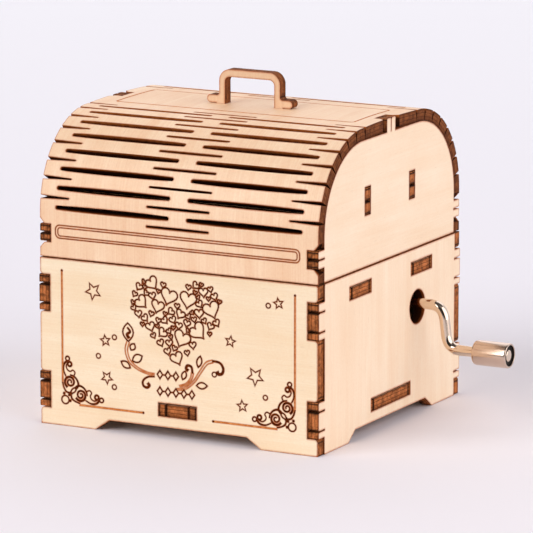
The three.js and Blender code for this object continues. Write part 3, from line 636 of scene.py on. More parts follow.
class Shader(Nodes):
    """A material with a principled surface."""

    def __init__(self, name, **settings):
        self.material = bpy.data.materials.new(name)
        self.material.use_nodes = True
        super().__init__(self.material.node_tree)
        self.surface = next(node for node in self.nodes if node.type == "BSDF_PRINCIPLED")
        for socket, value in settings.items():
            self.surface.inputs[socket.replace("_", " ")].default_value = value

    def color(self, socket):
        self.links.new(socket, self.surface.inputs["Base Color"])

    def rough(self, socket):
        self.links.new(socket, self.surface.inputs["Roughness"])

    def bump(self, height, strength, distance):
        node = self.node("Bump", {"Height": height, "Strength": strength, "Distance": distance})
        self.links.new(node.outputs["Normal"], self.surface.inputs["Normal"])


def wood_face(name, pale, deep, along, seed, streaks, sheen=0.42):
    """Sanded thin birch: fine fibres, slow bands of tone, a few short pores, toasted at cut edges."""
    s = Shader(name, Roughness=0.55, Specular_IOR_Level=sheen)
    pale, deep = linear(*pale), linear(*deep)
    flat = s.attribute("flat")
    moved = s.node("VectorMath", {0: flat, 1: (seed, seed * 1.7, seed * 0.6)}, operation="ADD").outputs[0]

    def stretched(length, width):
        """Longer along the grain than across it and into the wood."""
        if along == "u":
            return s.scaled(moved, (1 / length, 1 / width, 1 / width))
        return s.scaled(moved, (1 / width, 1 / length, 1 / width))

    bands = s.noise(stretched(55, 6.0), 1.0, 2.0, 0.5, 0.6)
    fibres = s.noise(stretched(14, 0.34), 1.0, 4.0, 0.65)
    clouds = s.noise(moved, 0.06, 3.0)
    pores = s.noise(stretched(2.6, 0.16), 1.0, 1.0, 0.4)
    tone = s.math("ADD", s.math("MULTIPLY", bands, 0.55), s.math("MULTIPLY", fibres, streaks))
    tone = s.math("ADD", tone, s.math("MULTIPLY", clouds, 0.35))
    pore_mask = s.ramp(pores, [(0.70, 0.0), (0.78, 1.0)])
    speckle = s.noise(moved, 1.7, 3.0, 0.7)
    tone = s.math("ADD", tone, s.math("MULTIPLY", s.math("SUBTRACT", speckle, 0.5), 0.34))
    base = s.ramp(tone, [(0.42, pale), (0.66, tuple((p + d) / 2 for p, d in zip(pale, deep))), (0.95, deep)])
    darker = tuple(c * 0.72 for c in deep[:3]) + (1,)
    base = s.mix(s.math("MULTIPLY", pore_mask, 0.35), base, darker)
    toast_noise = s.noise(moved, 0.9, 3.0)
    toast = s.math("MULTIPLY", s.math("POWER", s.attribute("scorch", "Fac"), 1.6),
                   s.math("ADD", toast_noise, 0.45), clamp=True)
    base = s.mix(toast, base, linear(180, 88, 26))
    s.color(base)
    s.rough(s.ramp(fibres, [(0.2, 0.46), (0.8, 0.62)]))
    height = s.math("SUBTRACT", s.math("MULTIPLY", fibres, 0.5), s.math("MULTIPLY", pore_mask, 0.6))
    s.bump(height, 0.22, 0.00006)
    return s.material


def cut_depth(s, flat, scale, detail, uneven):
    """How far through the board a cut's wall is, 0 to 1, with that much unevenness in millimetres."""
    depth = s.node("SeparateXYZ", {0: flat}).outputs["Z"]
    wobble = s.math("MULTIPLY", s.math("SUBTRACT", s.noise(flat, scale, detail), 0.5), uneven)
    return s.math("DIVIDE", s.math("ADD", depth, wobble), PLY, clamp=True)


def burnt_edge(name, char):
    """The laser's cut through three plies: dark skins and glue lines, a browner core, soot in streaks, and
    painted shade near its corners.
    """
    s = Shader(name, Roughness=0.7, Specular_IOR_Level=0.06)
    flat = s.attribute("flat")
    skin, glue = linear(64, 29, 11), linear(98, 52, 24)
    plies = s.ramp(cut_depth(s, flat, 0.8, 2.0, 0.5), [
        (0.0, skin), (0.1, linear(162, 92, 49)), (0.27, linear(204, 122, 70)), (0.335, glue),
        (0.4, linear(206, 125, 73)), (0.6, linear(188, 110, 62)), (0.665, glue),
        (0.73, linear(186, 108, 60)), (0.9, linear(142, 78, 38)), (1.0, skin)])
    soot = s.noise(s.scaled(flat, (0.7, 0.7, 0.6)), 0.8, 3.0, 0.6, 0.8)
    soot_mask = s.ramp(soot, [(0.36, 1.0), (0.58, 0.0)])
    base = s.mix(s.math("MULTIPLY", soot_mask, 0.7), plies, linear(48, 23, 10))
    grain = s.noise(s.scaled(flat, (1.3, 1.3, 2.6)), 3.0, 4.0, 0.7)
    base = s.mix(s.ramp(grain, [(0.4, 0.0), (0.75, 0.3)]), base, linear(176, 108, 62))
    # Painted shade: the edge darkens near its corners, where the crevices round tabs and notches would be
    # dark.
    outline = s.math("MULTIPLY", s.math("POWER", s.attribute("corner", "Fac"), 0.8), 0.92, clamp=True)
    base = s.mix(outline, base, linear(30, 14, 7))
    s.color(s.mix(char, base, linear(62, 27, 11)))
    s.bump(s.math("ADD", soot, s.math("MULTIPLY", grain, 0.5)), 0.5, 0.0001)
    return s.material


def charred_and_shaded_slot_wall(name):
    """A long slot's wall: toasted at the face, darker further in, partly charred wood and partly painted
    shade deep in the slot.
    """
    s = Shader(name, Roughness=0.8, Specular_IOR_Level=0.02)
    flat = s.attribute("flat")
    # Partly painted shade: the wall darkens to near black deeper into the slot.
    s.color(s.ramp(cut_depth(s, flat, 0.9, 3.0, 0.7), [
        (0.0, linear(178, 100, 48)), (0.12, linear(140, 74, 34)), (0.3, linear(60, 28, 12)),
        (1.0, linear(32, 15, 7))]))
    s.bump(s.noise(flat, 4.0, 3.0), 0.4, 0.00008)
    return s.material


def engraved_line(name, dark, light):
    """A laser-engraved groove: charred wood, unevenly burnt."""
    s = Shader(name, Roughness=0.75, Specular_IOR_Level=0.03)
    burn = s.noise(s.attribute("flat"), 1.1, 3.0, 0.6)
    s.color(s.ramp(burn, [(0.35, linear(*dark)), (0.7, linear(*light))]))
    s.bump(s.noise(s.attribute("flat"), 9.0, 2.0), 0.4, 0.00005)
    return s.material


def metal(name, color, worn, roughness, per_metre, scratches, tarnish=0.12):
    """Bare or plated metal with slight tarnish and fine machining lines, so many to a metre along each
    axis."""
    s = Shader(name, Metallic=1.0)
    place = s.node("TexCoord").outputs["Object"]
    lines = s.noise(s.scaled(place, per_metre), 1.0, 3.0, 0.7)
    clouds = s.noise(place, 420.0, 3.0)
    dulled = s.math("MULTIPLY", s.ramp(clouds, [(0.4, 0.0), (0.75, 1.0)]), tarnish * 4, clamp=True)
    s.color(s.mix(dulled, linear(*color), linear(*worn)))
    wide = s.ramp(lines, [(0.3, roughness * 0.75), (0.7, roughness * 1.35)])
    s.rough(s.mix(s.math("MULTIPLY", clouds, 0.4), wide, (roughness * 1.7,) * 3 + (1,)))
    s.bump(lines, scratches, 0.00001)
    return s.material


def nylon_material():
    """The worm wheel's nylon, with a little light in it."""
    s = Shader("white_nylon", Roughness=0.5, Subsurface_Weight=0.15,
               Subsurface_Radius=(0.001, 0.0009, 0.0008))
    place = s.node("TexCoord").outputs["Object"]
    s.color(s.ramp(s.noise(place, 300.0, 3.0), [(0.3, linear(232, 228, 216)), (0.7, linear(244, 241, 232))]))
    s.bump(s.noise(place, 2600.0, 2.0), 0.15, 0.00002)
    return s.material


PALE_FACE = wood_face("birch_front", (253, 236, 208), (243, 211, 170), "u", seed=3, streaks=0.42)
SIDE_WOOD = wood_face("birch_side", (254, 232, 204), (244, 210, 174), "v", seed=11, streaks=0.36)
LID_SIDE_WOOD = wood_face("birch_lid_side", (253, 231, 203), (245, 211, 174), "u", seed=23, streaks=0.36)
SHEET_WOOD = wood_face("birch_lid_sheet", (255, 226, 193), (239, 191, 149), "v", seed=37, streaks=0.5,
                       sheen=0.7)
INNER_WOOD = wood_face("birch_inside", (246, 218, 184), (230, 192, 150), "u", seed=51, streaks=0.5)
HANDLE_WOOD = wood_face("birch_handle", (252, 220, 187), (234, 192, 153), "v", seed=67, streaks=0.6)
CUT_EDGE = burnt_edge("burnt_cut_edge", char=0.0)
HANDLE_EDGE = burnt_edge("burnt_handle_edge", char=0.45)
SHEET_EDGE = burnt_edge("burnt_sheet_edge", char=0.6)
# Slot walls: real char plus painted shade deeper in.
CHARRED_AND_SHADED_SLOT_WALL = charred_and_shaded_slot_wall("charred_slot_wall_painted_shade")
DARK_ENGRAVING = engraved_line("engraved_dark", (62, 20, 4), (118, 48, 16))
PALE_ENGRAVING = engraved_line("engraved_pale", (196, 110, 50), (230, 156, 92))
SCORED_LINE = engraved_line("scored_line", (120, 52, 18), (186, 104, 52))
NICKEL = metal("nickel_plate", (228, 208, 188), (200, 178, 158), roughness=0.08,
               per_metre=(300, 3000, 3000), scratches=0.05, tarnish=0.06)
SATIN_NICKEL = metal("satin_nickel", (214, 192, 176), (186, 162, 144), roughness=0.17,
                     per_metre=(6000, 60, 60), scratches=0.14, tarnish=0.06)
# Painted shade for the knob's recess: a dark metal where the hollow would lie in shadow.
RECESS_PAINTED_SHADE = metal("painted_shade_recess", (46, 40, 36), (30, 26, 24), roughness=0.5,
                  per_metre=(2000, 2000, 2000), scratches=0.4)
DARK_STEEL = metal("ground_steel", (150, 152, 158), (108, 108, 112), roughness=0.3,
                   per_metre=(4000, 400, 4000), scratches=0.3)
BRASS = metal("polished_brass", (222, 184, 108), (186, 140, 76), roughness=0.24,
              per_metre=(300, 4000, 4000), scratches=0.25)
ZINC = metal("zinc_casting", (176, 178, 182), (138, 140, 144), roughness=0.42,
             per_metre=(1500, 1500, 1500), scratches=0.5)
NYLON = nylon_material()


def wooden(face, cut_edge=CUT_EDGE):
    """The four materials of an engraved plywood piece, in the order of FACE, EDGE and the two lines."""
    return (face, cut_edge, DARK_ENGRAVING, PALE_ENGRAVING)


def stands_for(piece, body, node):
    """The piece moves with the body and takes that CAD node's place."""
    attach(piece, body)
    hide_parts(node)


def board(name, body, slot, node, outline, holes, materials, **drawing):
    """A flat piece of plywood: its plate, on its body, in its node's place."""
    stands_for(plate(name, outline, holes, materials=materials, **drawing), body, node)


# ---- Where a flat piece stands: (u, v, depth below its best face) to millimetres ----

def facing_front(y):
    return lambda u, v, depth: (u, y + depth, v)


def facing_back(y):
    return lambda u, v, depth: (-u, y - depth, v)


def facing_left(x):
    return lambda u, v, depth: (x + depth, -u, v)


def facing_right(x):
    return lambda u, v, depth: (x - depth, u, v)


def facing_up(z):
    return lambda u, v, depth: (u, v, z - depth)


# ---- Plywood of the lower box ----

def slit(out, base, v):
    """A snap slit cut into a finger's end, from its outer face to its root, with a flared mouth."""
    half = SLIT / 2
    mouth = half * 2.1
    throat = out - 0.7
    root = base - 0.2
    return [(out, v - mouth), (throat, v - half), (root, v - half, 0.12), (root, v + half, 0.12),
            (throat, v + half), (out, v + mouth)]


def finger(base, out, low, high, slits):
    """The right-hand edge of a finger, listed upward."""
    tip, root = 0.45, 0.15
    corners = [(base, low, root), (out, low, tip)]
    for v in slits:
        corners += slit(out, base, v)
    return corners + [(out, high, tip), (base, high, root)]


def front_outline():
    """The front or back: two feet, and notches for the sides' fingers with rounded mouths."""
    notch = SIDE_FACE - PLY - FIT
    mouth = 0.9
    half = [(FRONT_FOOT[0], FOOT_TOP, 0.5), (FRONT_FOOT[1], 0, 0.4), (HALF_WIDTH, 0)]
    for low, high in FINGERS:
        half += [(HALF_WIDTH, low - FIT, mouth), (notch, low - FIT, 0.1)]
        half += [(notch, high + FIT, 0.1), (HALF_WIDTH, high + FIT, mouth)]
    half.append((HALF_WIDTH, BOX_HEIGHT))
    return rounded(mirrored(half))


def side_outline():
    """A side: two feet, and slit fingers that reach the front's and back's outer faces."""
    base = HALF_DEPTH - PLY - FIT
    half = [(SIDE_FOOT[0], FOOT_TOP, 0.5), (SIDE_FOOT[1], 0, 0.4), (base, 0)]
    for low, high in FINGERS:
        half += finger(base, HALF_DEPTH, low, high, (low + FINGER_SLITS[0], high - FINGER_SLITS[1]))
    half.append((base, BOX_HEIGHT))
    return rounded(mirrored(half))


def slot_for(low, high, z):
    """The slot for the tab of a flat plate whose underside is at z."""
    return rectangle(low - 0.1, high + 0.1, z - 0.08, z + PLY + SLOT_SLACK, 0.1)


def flat_plate_outline(front_tab, side_tabs):
    """Base or deck, seen from above, with its tabs. Without a front_tab its front and rear are straight."""
    x = SIDE_FACE - PLY - FIT
    y = HALF_DEPTH - PLY - FIT
    tab = []
    if front_tab:
        slit_at = front_tab - 2.1
        low, high = slit_at - SLIT / 2, slit_at + SLIT / 2
        tab = [(low, HALF_DEPTH), (low, y), (high, y), (high, HALF_DEPTH), (front_tab, HALF_DEPTH, 0.2),
               (front_tab, y, 0.1)]
    half = [(corner[0], -corner[1]) + corner[2:] for corner in tab] + [(x, -y)]
    for low, high in side_tabs:
        half += finger(x, SIDE_FACE, low, high, (low + 1.0, high - 1.0))
    return rounded(mirrored(half + [(x, y)] + tab[::-1]))


def lower_box():
    tab_slot = slot_for(-BASE_TAB_FRONT, BASE_TAB_FRONT, BASE_Z)
    low, high = DECK_TAB
    side_slots = [slot_for(-BASE_TAB_SIDE, BASE_TAB_SIDE, BASE_Z), slot_for(low, high, DECK_Z),
                  slot_for(-high, -low, DECK_Z)]
    crank_hole = circle(CRANK_Y, CRANK_HOLE_Z, CRANK_HOLE_R, 72)

    board("front_board", "box", "pale_plywood", "front_panel", front_outline(), [tab_slot],
          wooden(PALE_FACE), strokes=front_engraving(), place=facing_front(-HALF_DEPTH))
    board("back_board", "box", "pale_plywood", "back_panel", front_outline(),
          [tab_slot] + pilot_holes(HINGE_Z - LEAF_SCREW_Z), wooden(PALE_FACE), place=facing_back(HALF_DEPTH))
    board("left_board", "box", "pale_plywood", "left_side_panel", side_outline(), side_slots,
          wooden(SIDE_WOOD), place=facing_left(-SIDE_FACE))
    board("right_board", "box", "pale_plywood", "right_side_panel", side_outline(), side_slots + [crank_hole],
          wooden(SIDE_WOOD) + (CHARRED_AND_SHADED_SLOT_WALL,), place=facing_right(SIDE_FACE), slot_walls=True)
    board("base_board", "box", "pale_plywood", "base_plate",
          flat_plate_outline(BASE_TAB_FRONT, [(-BASE_TAB_SIDE, BASE_TAB_SIDE)]), [],
          wooden(INNER_WOOD), place=facing_up(BASE_Z + PLY))
    board("deck_board", "box", "pale_plywood", "deck_plate", flat_plate_outline(0, [(-high, -low), DECK_TAB]),
          [circle(x, y, 1.3, 28) for x, y in mounting_places()], wooden(INNER_WOOD),
          place=facing_up(DECK_Z + PLY))


def mounting_places():
    """The mounting screws' centres on the deck, from the CAD."""
    places = []
    for i in (1, 2, 3):
        low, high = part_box(f"mounting_screw_{i}")
        places.append((((low[0] + high[0]) / 2 - ORIGIN.x) / MM, ((low[1] + high[1]) / 2 - ORIGIN.y) / MM))
    return places


# ---- Engraving of the front: hearts, stars and scrolls of a general kind ----

def heart(u, v, half_width, turn=0.0, steps=26):
    points = []
    spin = Matrix.Rotation(math.radians(turn), 2)
    for i in range(steps):
        t = 2 * math.pi * (i + 0.5) / steps
        x = 16 * math.sin(t) ** 3
        y = 13 * math.cos(t) - 5 * math.cos(2 * t) - 2 * math.cos(3 * t) - math.cos(4 * t) + 2.5
        points.append(Vector((u, v)) + spin @ Vector((x, y)) * (half_width / 16))
    return points[::-1]


def star(u, v, radius, turn=0.0):
    points = []
    for i in range(10):
        reach = radius if i % 2 == 0 else radius * 0.46
        angle = math.radians(90 + turn + 36 * i)
        points.append(Vector((u + reach * math.cos(angle), v + reach * math.sin(angle))))
    return points


def leaf(u, v, length, width, turn):
    spin = Matrix.Rotation(math.radians(turn), 2)
    side = [Vector((math.cos(a) * length / 2, math.sin(a) ** 2 * width / 2))
            for a in (math.pi * i / 10 for i in range(10))]
    outline = side + [-p for p in side]
    return [Vector((u, v)) + spin @ p for p in outline]


def heart_cloud():
    """Small hearts packed into the shape of a large one, the larger ones first."""
    rng = random.Random(29)
    tries = 900
    half_width = 13.0
    border = np.array([tuple(p) for p in heart(-0.1, 28.6, half_width, 0, 160)])
    placed = []
    for size in [2.6] * 5 + [2.0] * 4 + [1.45] * 5 + [1.1] * 18 + [0.86] * 60 + [0.68] * 50:
        for _ in range(tries):
            u, v = rng.uniform(-half_width, half_width), rng.uniform(17.5, 40.5)
            if not inside(np.array([(u, v)]), [border])[0]:
                continue
            if np.hypot(border[:, 0] - u, border[:, 1] - v).min() < size * 0.72:
                continue
            if all(math.hypot(u - a, v - b) > (size + r) * 0.87 + 0.1 for a, b, r in placed):
                placed.append((u, v, size))
                break
    return [heart(u, v, size * 0.9, rng.uniform(-48, 48), 26 if size > 1 else 18) for u, v, size in placed]


def corner_scroll(side):
    """The scroll in a lower corner: the same drawing along both edges from the corner."""
    drawn = [ring(circle(side * 32.0, 6.7, 1.05), LINE),
             ring(leaf(side * 29.6, 9.3, 2.3, 0.95, 90 + side * 45), LINE)]
    curl = []
    for i in range(25):
        angle = math.radians(-150 + 640 * i / 24)
        radius = 1.62 - 1.36 * i / 24
        curl.append((5.45 + radius * math.cos(angle), 2.4 + radius * math.sin(angle)))

    for swapped in (False, True):
        def spot(p, q):
            p, q = (q, p) if swapped else (p, q)
            return (side * (33.0 - p), 5.9 + q)

        for points, width, end_width, steps in (
                (curl, 0.6, 0.34, 2),
                ([(7.3, 2.4), (7.05, 3.4), (6.3, 4.3), (5.2, 4.75), (4.3, 4.45), (3.8, 3.8)], 0.34, 0.62, 6),
                ([(7.1, 3.5), (8.0, 3.8), (8.55, 3.2), (8.2, 2.5), (8.45, 1.75), (9.3, 1.3), (10.2, 1.6)],
                 0.3, 0.3, 6),
                ([(6.8, 1.2), (8.2, 0.55), (9.7, 0.6), (10.5, 1.2), (10.7, 1.7)], 0.3, 0.66, 6),
                ([(2.6, 2.3), (2.9, 1.3), (3.8, 0.65), (5.2, 0.2)], 0.5, 0.34, 6),
                ([(1.9, 2.0), (2.5, 2.2), (3.1, 2.7)], 0.5, 0.4, 6)):
            drawn.append(ribbon(smooth([spot(p, q) for p, q in points], steps), width, end_width))
        drawn.append(ring(circle(*spot(10.05, 2.3), 0.55, 18), 0.5))
        drawn.append(ring(circle(*spot(11.4, 1.7), 0.55, 18), 0.36))
        drawn.append([circle(*spot(2.4, 0.65), 0.36, 12)])
    return [(loops, DARK_LINE) for loops in drawn]


def border_lines():
    """The pale lines along the front's edges, with a dark dot at each end away from the corners."""
    strokes = []
    for side in (-1, 1):
        upright = [Vector((side * BORDER_X, z)) for z in (BORDER_TOP, 30.0, 20.0, 11.6)]
        bend = [Vector((side * x, z)) for x, z in ((32.7, 10.8), (32.5, 9.9), (32.1, 9.2))]
        strokes.append((ribbon(upright + bend, BORDER_LINE), PALE_LINE))
        strokes.append(([circle(side * BORDER_X, BORDER_TOP, 0.3, 14)], DARK_LINE))
    for inner, outer in ((-9.7, -27.9), (10.05, 27.9)):
        strokes.append((ribbon([(inner, BORDER_Z), (outer, BORDER_Z)], BORDER_LINE), PALE_LINE))
        strokes.append(([circle(inner, BORDER_Z, 0.3, 14)], DARK_LINE))
    return strokes


def sprigs():
    """The curling stems and leaves beside the hearts."""
    strokes = []

    def curl(points, width, end_width):
        strokes.append((ribbon(smooth(points), width, end_width), DARK_LINE))

    def stem(points, width, end_width):
        right, left = beside(smooth(points), width, end_width)
        strokes.extend([(ribbon(right, 0.22), PALE_LINE), (ribbon(left, 0.22), PALE_LINE)])

    stem([(-13.9, 23.4), (-14.4, 21.2), (-13.5, 18.6), (-11.2, 16.9), (-8.4, 16.0), (-6.4, 15.9)], 0.75, 0.4)
    curl([(-6.4, 15.3), (-8.4, 15.0), (-9.7, 13.9), (-9.6, 12.7), (-8.6, 12.3), (-7.9, 12.9), (-8.4, 13.5)],
         0.35, 0.75)
    strokes.append((ring(leaf(-13.9, 25.8, 4.6, 3.0, 92), LINE), DARK_LINE))
    curl([(-14.1, 27.0), (-13.3, 26.0), (-14.2, 25.2), (-13.6, 24.3)], 0.45, 0.8)
    stem([(-0.2, 12.7), (2.2, 13.2), (4.6, 15.1), (6.4, 17.7), (8.2, 20.1), (10.0, 20.9)], 0.4, 0.7)
    curl([(9.8, 21.0), (11.9, 20.7), (12.9, 19.4), (12.6, 18.1), (11.6, 17.8), (11.2, 18.5)], 0.5, 0.85)
    stem([(0.6, 13.6), (2.6, 14.4), (3.9, 15.9), (4.3, 17.4)], 0.35, 0.6)
    curl([(4.3, 17.2), (4.0, 18.8), (2.9, 19.1), (2.5, 18.3), (3.1, 17.8)], 0.5, 0.8)
    for u, v, length, width, turn in ((-12.6, 22.2, 1.9, 1.5, 60), (-11.3, 19.4, 3.1, 2.0, 28),
                                      (-14.6, 17.5, 2.9, 1.6, -28), (1.9, 16.5, 2.3, 1.3, 70),
                                      (6.2, 20.4, 2.9, 1.4, 78), (6.9, 14.4, 3.0, 1.6, 4)):
        strokes.append((ring(leaf(u, v, length, width, turn), LINE), DARK_LINE))
    return strokes


def lozenge_rows():
    """Two rows of small lozenges and dots below the hearts."""
    strokes = []
    pitch = 2.25
    for v, count in ((16.0, 3), (11.8, 5)):
        for i in range(count):
            u = -4.9 + pitch * i
            diamond = [Vector((u + a, v + b)) for a, b in ((0.75, 0), (0, 1.05), (-0.75, 0), (0, -1.05))]
            strokes.append((ring(diamond, LINE), DARK_LINE))
            if i < count - 1:
                strokes.append(([circle(u + pitch / 2, v, 0.22, 10)], DARK_LINE))
    return strokes


def front_engraving():
    """Everything on the front. Each star is (u, v, radius, turn) and each dot (u, v)."""
    strokes = border_lines() + sprigs() + lozenge_rows() + corner_scroll(-1) + corner_scroll(1)
    strokes += [(ring(small, LINE), DARK_LINE) for small in heart_cloud()]
    stars = ((-23.8, 35.2, 2.2, 172), (-20.4, 23.0, 1.4, 8), (-20.0, 13.6, 1.6, 184), (28.2, 37.2, 1.35, 10),
             (14.9, 26.4, 1.4, -8), (21.8, 18.3, 2.3, 178), (18.2, 10.5, 1.45, 6))
    strokes += [(ring(star(*place), LINE * 0.8), DARK_LINE) for place in stars]
    dots = ((-17.8, 24.1), (-22.4, 18.9), (-17.9, 11.4), (25.4, 36.4), (10.4, 17.6), (24.6, 13.3))
    strokes += [(ring(circle(u, v, 0.6, 18), LINE * 0.8), DARK_LINE) for u, v in dots]
    return strokes


# ---- Lid ----

def closing(s, depth):
    """Where a point of the drawing lies once the sheet is bent: slots close up toward the inner face."""
    walls, end = SLOT_REACH
    for first in (LONG_ROW, MIDDLE_ROW):
        row = first + ROW_PITCH * round((s - first) / ROW_PITCH)
        away = abs(s - row)
        if away < end and row < BEND_LENGTH + 1:
            left = SLOT_SHUT + (1 - SLOT_SHUT) * max(0, (away - walls) / (end - walls))
            return s + (left - 1) * (s - row) * (depth / PLY)
    return s


def on_sheet(u, s, depth):
    """A point of the lid sheet: s along its outer face from where the front bend starts."""
    if s > SHEET_MIDDLE:
        _, y, z = on_sheet(u, 2 * SHEET_MIDDLE - s, depth)
        return (u, -y, z)
    s = closing(s, depth)
    if s <= 0:
        return (u, depth - LID_DEPTH, BEND_Z + s)
    if s < BEND_LENGTH:
        angle = s / BEND_R
        radius = BEND_R - depth
        return (u, -BEND_Y - radius * math.cos(angle), BEND_Z + radius * math.sin(angle))
    y = s - SHEET_MIDDLE
    return (u, y, BEND_Z + BEND_R - depth + TOP_BOW * (1 - (y / BEND_Y) ** 2))


def round_slot(u0, u1, s, halves):
    """A slot with round ends, a little wider in the middle. halves are half its width in each place."""
    end_half, middle_half = halves
    width = u1 - u0
    top = []
    for i in range(9):
        t = i / 8
        top.append((u0 + end_half + (width - 2 * end_half) * t,
                    s + end_half + (middle_half - end_half) * math.sin(math.pi * t) ** 0.7))
    left_end = arc(u0 + end_half, s, end_half, 90, 270, 8)[1:-1]
    right_end = arc(u1 - end_half, s, end_half, -90, 90, 8)[1:-1]
    bottom = [(u, 2 * s - v) for u, v in top]
    return [Vector(p) for p in bottom + right_end + top[::-1] + left_end]


def edge_wedge(side, s):
    """A short slot at the sheet's edge, open and widening outward."""
    root_half, mouth_half = WEDGE_HALF
    beyond = HALF_WIDTH + 1.0
    grown = mouth_half + (mouth_half - root_half) * (beyond - HALF_WIDTH) / (HALF_WIDTH - WEDGE_ROOT)
    wedge = [(WEDGE_ROOT - 0.18, s), (WEDGE_ROOT, s + root_half), (beyond, s + grown), (beyond, s - grown),
             (WEDGE_ROOT, s - root_half)]
    return [Vector((side * u, v)) for u, v in wedge]


def bend_slots():
    """The rows of slots that let the sheet bend, over both bends."""
    holes = []
    near, far = LONG_SLOT
    for number in range(LONG_ROWS):
        s = LONG_ROW + ROW_PITCH * number
        holes += [round_slot(near, far, s, LONG_HALF), round_slot(-far, -near, s, LONG_HALF)]
    for number in range(MIDDLE_ROWS):
        s = MIDDLE_ROW + ROW_PITCH * number
        holes.append(round_slot(-MIDDLE_SLOT, MIDDLE_SLOT, s, MIDDLE_HALF))
        if number > 0:
            holes += [edge_wedge(1, s), edge_wedge(-1, s)]
    other_bend = [[Vector((p.x, 2 * SHEET_MIDDLE - p.y)) for p in hole] for hole in holes]
    return holes + other_bend


def sheet_seams():
    """Bending lines, so that the flat drawing can follow the curves."""
    stops = list(np.linspace(0, BEND_LENGTH, 49)) + list(np.linspace(BEND_LENGTH, SHEET_MIDDLE, 8))[1:-1]
    stops += [2 * SHEET_MIDDLE - s for s in stops] + [SHEET_MIDDLE]
    return [((-HALF_WIDTH - 0.01, s), (HALF_WIDTH + 0.01, s)) for s in stops]


def edge_notch(low, high):
    """The notch for a finger in the sheet's right edge, flared at its mouth."""
    beyond, lip, throat, root = HALF_WIDTH + 1, HALF_WIDTH - 0.05, HALF_WIDTH - 1.25, HALF_WIDTH - PLY - FIT
    flare = 1.35
    lower = [(beyond, low - flare), (lip, low - flare), (throat, low, 0.9), (root, low, 0.1)]
    upper = [(root, high, 0.1), (throat, high, 0.9), (lip, high + flare), (beyond, high + flare)]
    return rounded(lower + upper)


def sheet_strokes():
    """The double line round the front's long panel, and the pale frame on the top."""
    strokes = [(ring(rectangle(-34.6, 33.9, -6.0, -2.7, 1.2), 0.24), DARK_LINE),
               (ring(rectangle(-33.9, 33.2, -5.42, -3.32, 0.7), 0.22), DARK_LINE)]
    side, end, corner = 33.6, 10.2, 0.6
    half = [(side - corner, SHEET_MIDDLE - end), (side, SHEET_MIDDLE - end + corner),
            (side, SHEET_MIDDLE + end - corner), (side - corner, SHEET_MIDDLE + end)]
    return strokes + [(ring(rounded(mirrored(half)), 0.42), PALE_LINE)]


def lid_sheet():
    far = 2 * SHEET_MIDDLE
    outline = rectangle(-HALF_WIDTH, HALF_WIDTH, SHEET_START, far - SHEET_START)
    holes = bend_slots()
    low, high = LID_FINGER[0] - BEND_Z - FIT, LID_FINGER[1] - BEND_Z + FIT
    reach = TOP_FINGER + 0.8
    for span in ((low, high), (SHEET_MIDDLE - reach, SHEET_MIDDLE + reach), (far - high, far - low)):
        notch = edge_notch(*span)
        holes += [notch, [Vector((-p.x, p.y)) for p in notch][::-1]]
    for side in (-1, 1):
        u0, u1 = sorted((side * (HANDLE_LEG[0] - 0.04), side * (HANDLE_TAB + 0.04)))
        holes.append(rectangle(u0, u1, SHEET_MIDDLE - PLY / 2 - 0.02, SHEET_MIDDLE + PLY / 2 + 0.02, 0.1))
    holes += pilot_holes(far - (HINGE_Z + LEAF_SCREW_Z - BEND_Z))
    board("bent_lid_sheet", "lid", "warm_plywood", "lid_sheet", outline, holes,
          (SHEET_WOOD, SHEET_EDGE, SCORED_LINE, PALE_ENGRAVING, CHARRED_AND_SHADED_SLOT_WALL), strokes=sheet_strokes(),
          seams=sheet_seams(), place=on_sheet, smooth_angle=20, halo=0.42, slot_walls=True)


def lid_side_outline():
    """A lid side: its arched edge lies under the sheet, with a finger in front, behind and on top."""
    inner = LID_DEPTH - PLY - FIT
    top_z = BEND_Z + BEND_R
    slit_z = (LID_FINGER[0] + LID_FINGER[1]) / 2
    half = [(inner, LID_Z)] + finger(inner, LID_DEPTH, *LID_FINGER, (slit_z,))
    half += [tuple(p) for p in arc(BEND_Y, BEND_Z, inner - BEND_Y, 0, 90, 40)]
    half += [(TOP_FINGER, top_z - PLY - FIT), (TOP_FINGER, top_z + TOP_BOW, 0.4)]
    half += [(0.3, top_z + TOP_BOW), (0.1, top_z + TOP_BOW - 0.5), (0.1, top_z - PLY)]
    return rounded(mirrored(half))


def lid_sides():
    half = PLY / 2 + FIT
    low, high = BRACE_TAB_Z[0] - FIT, BRACE_TAB_Z[1] + 0.3
    slots = [rectangle(y - half, y + half, low, high, 0.12) for y in BRACE_Y]
    mirrored_slots = [[Vector((-p.x, p.y)) for p in slot][::-1] for slot in slots]
    board("lid_left_board", "lid", "warm_plywood", "lid_left_side", lid_side_outline(), mirrored_slots,
          wooden(LID_SIDE_WOOD), place=facing_left(-HALF_WIDTH))
    board("lid_right_board", "lid", "warm_plywood", "lid_right_side", lid_side_outline(), slots,
          wooden(LID_SIDE_WOOD), place=facing_right(HALF_WIDTH))


def lid_braces():
    inner = HALF_WIDTH - PLY - FIT
    middle = (BRACE_TAB_Z[0] + BRACE_TAB_Z[1]) / 2
    tab = finger(inner, HALF_WIDTH, *BRACE_TAB_Z, (middle,))
    half = [(inner, BRACE_Z[0], 0.2)] + tab + [(inner, BRACE_Z[1], 0.2)]
    outline = rounded(mirrored(half))
    for name, y in zip(("front", "rear"), BRACE_Y):
        board(f"lid_{name}_cross_board", "lid", "pale_plywood", f"lid_{name}_brace", outline, [],
              wooden(INNER_WOOD), place=facing_front(y - PLY / 2))


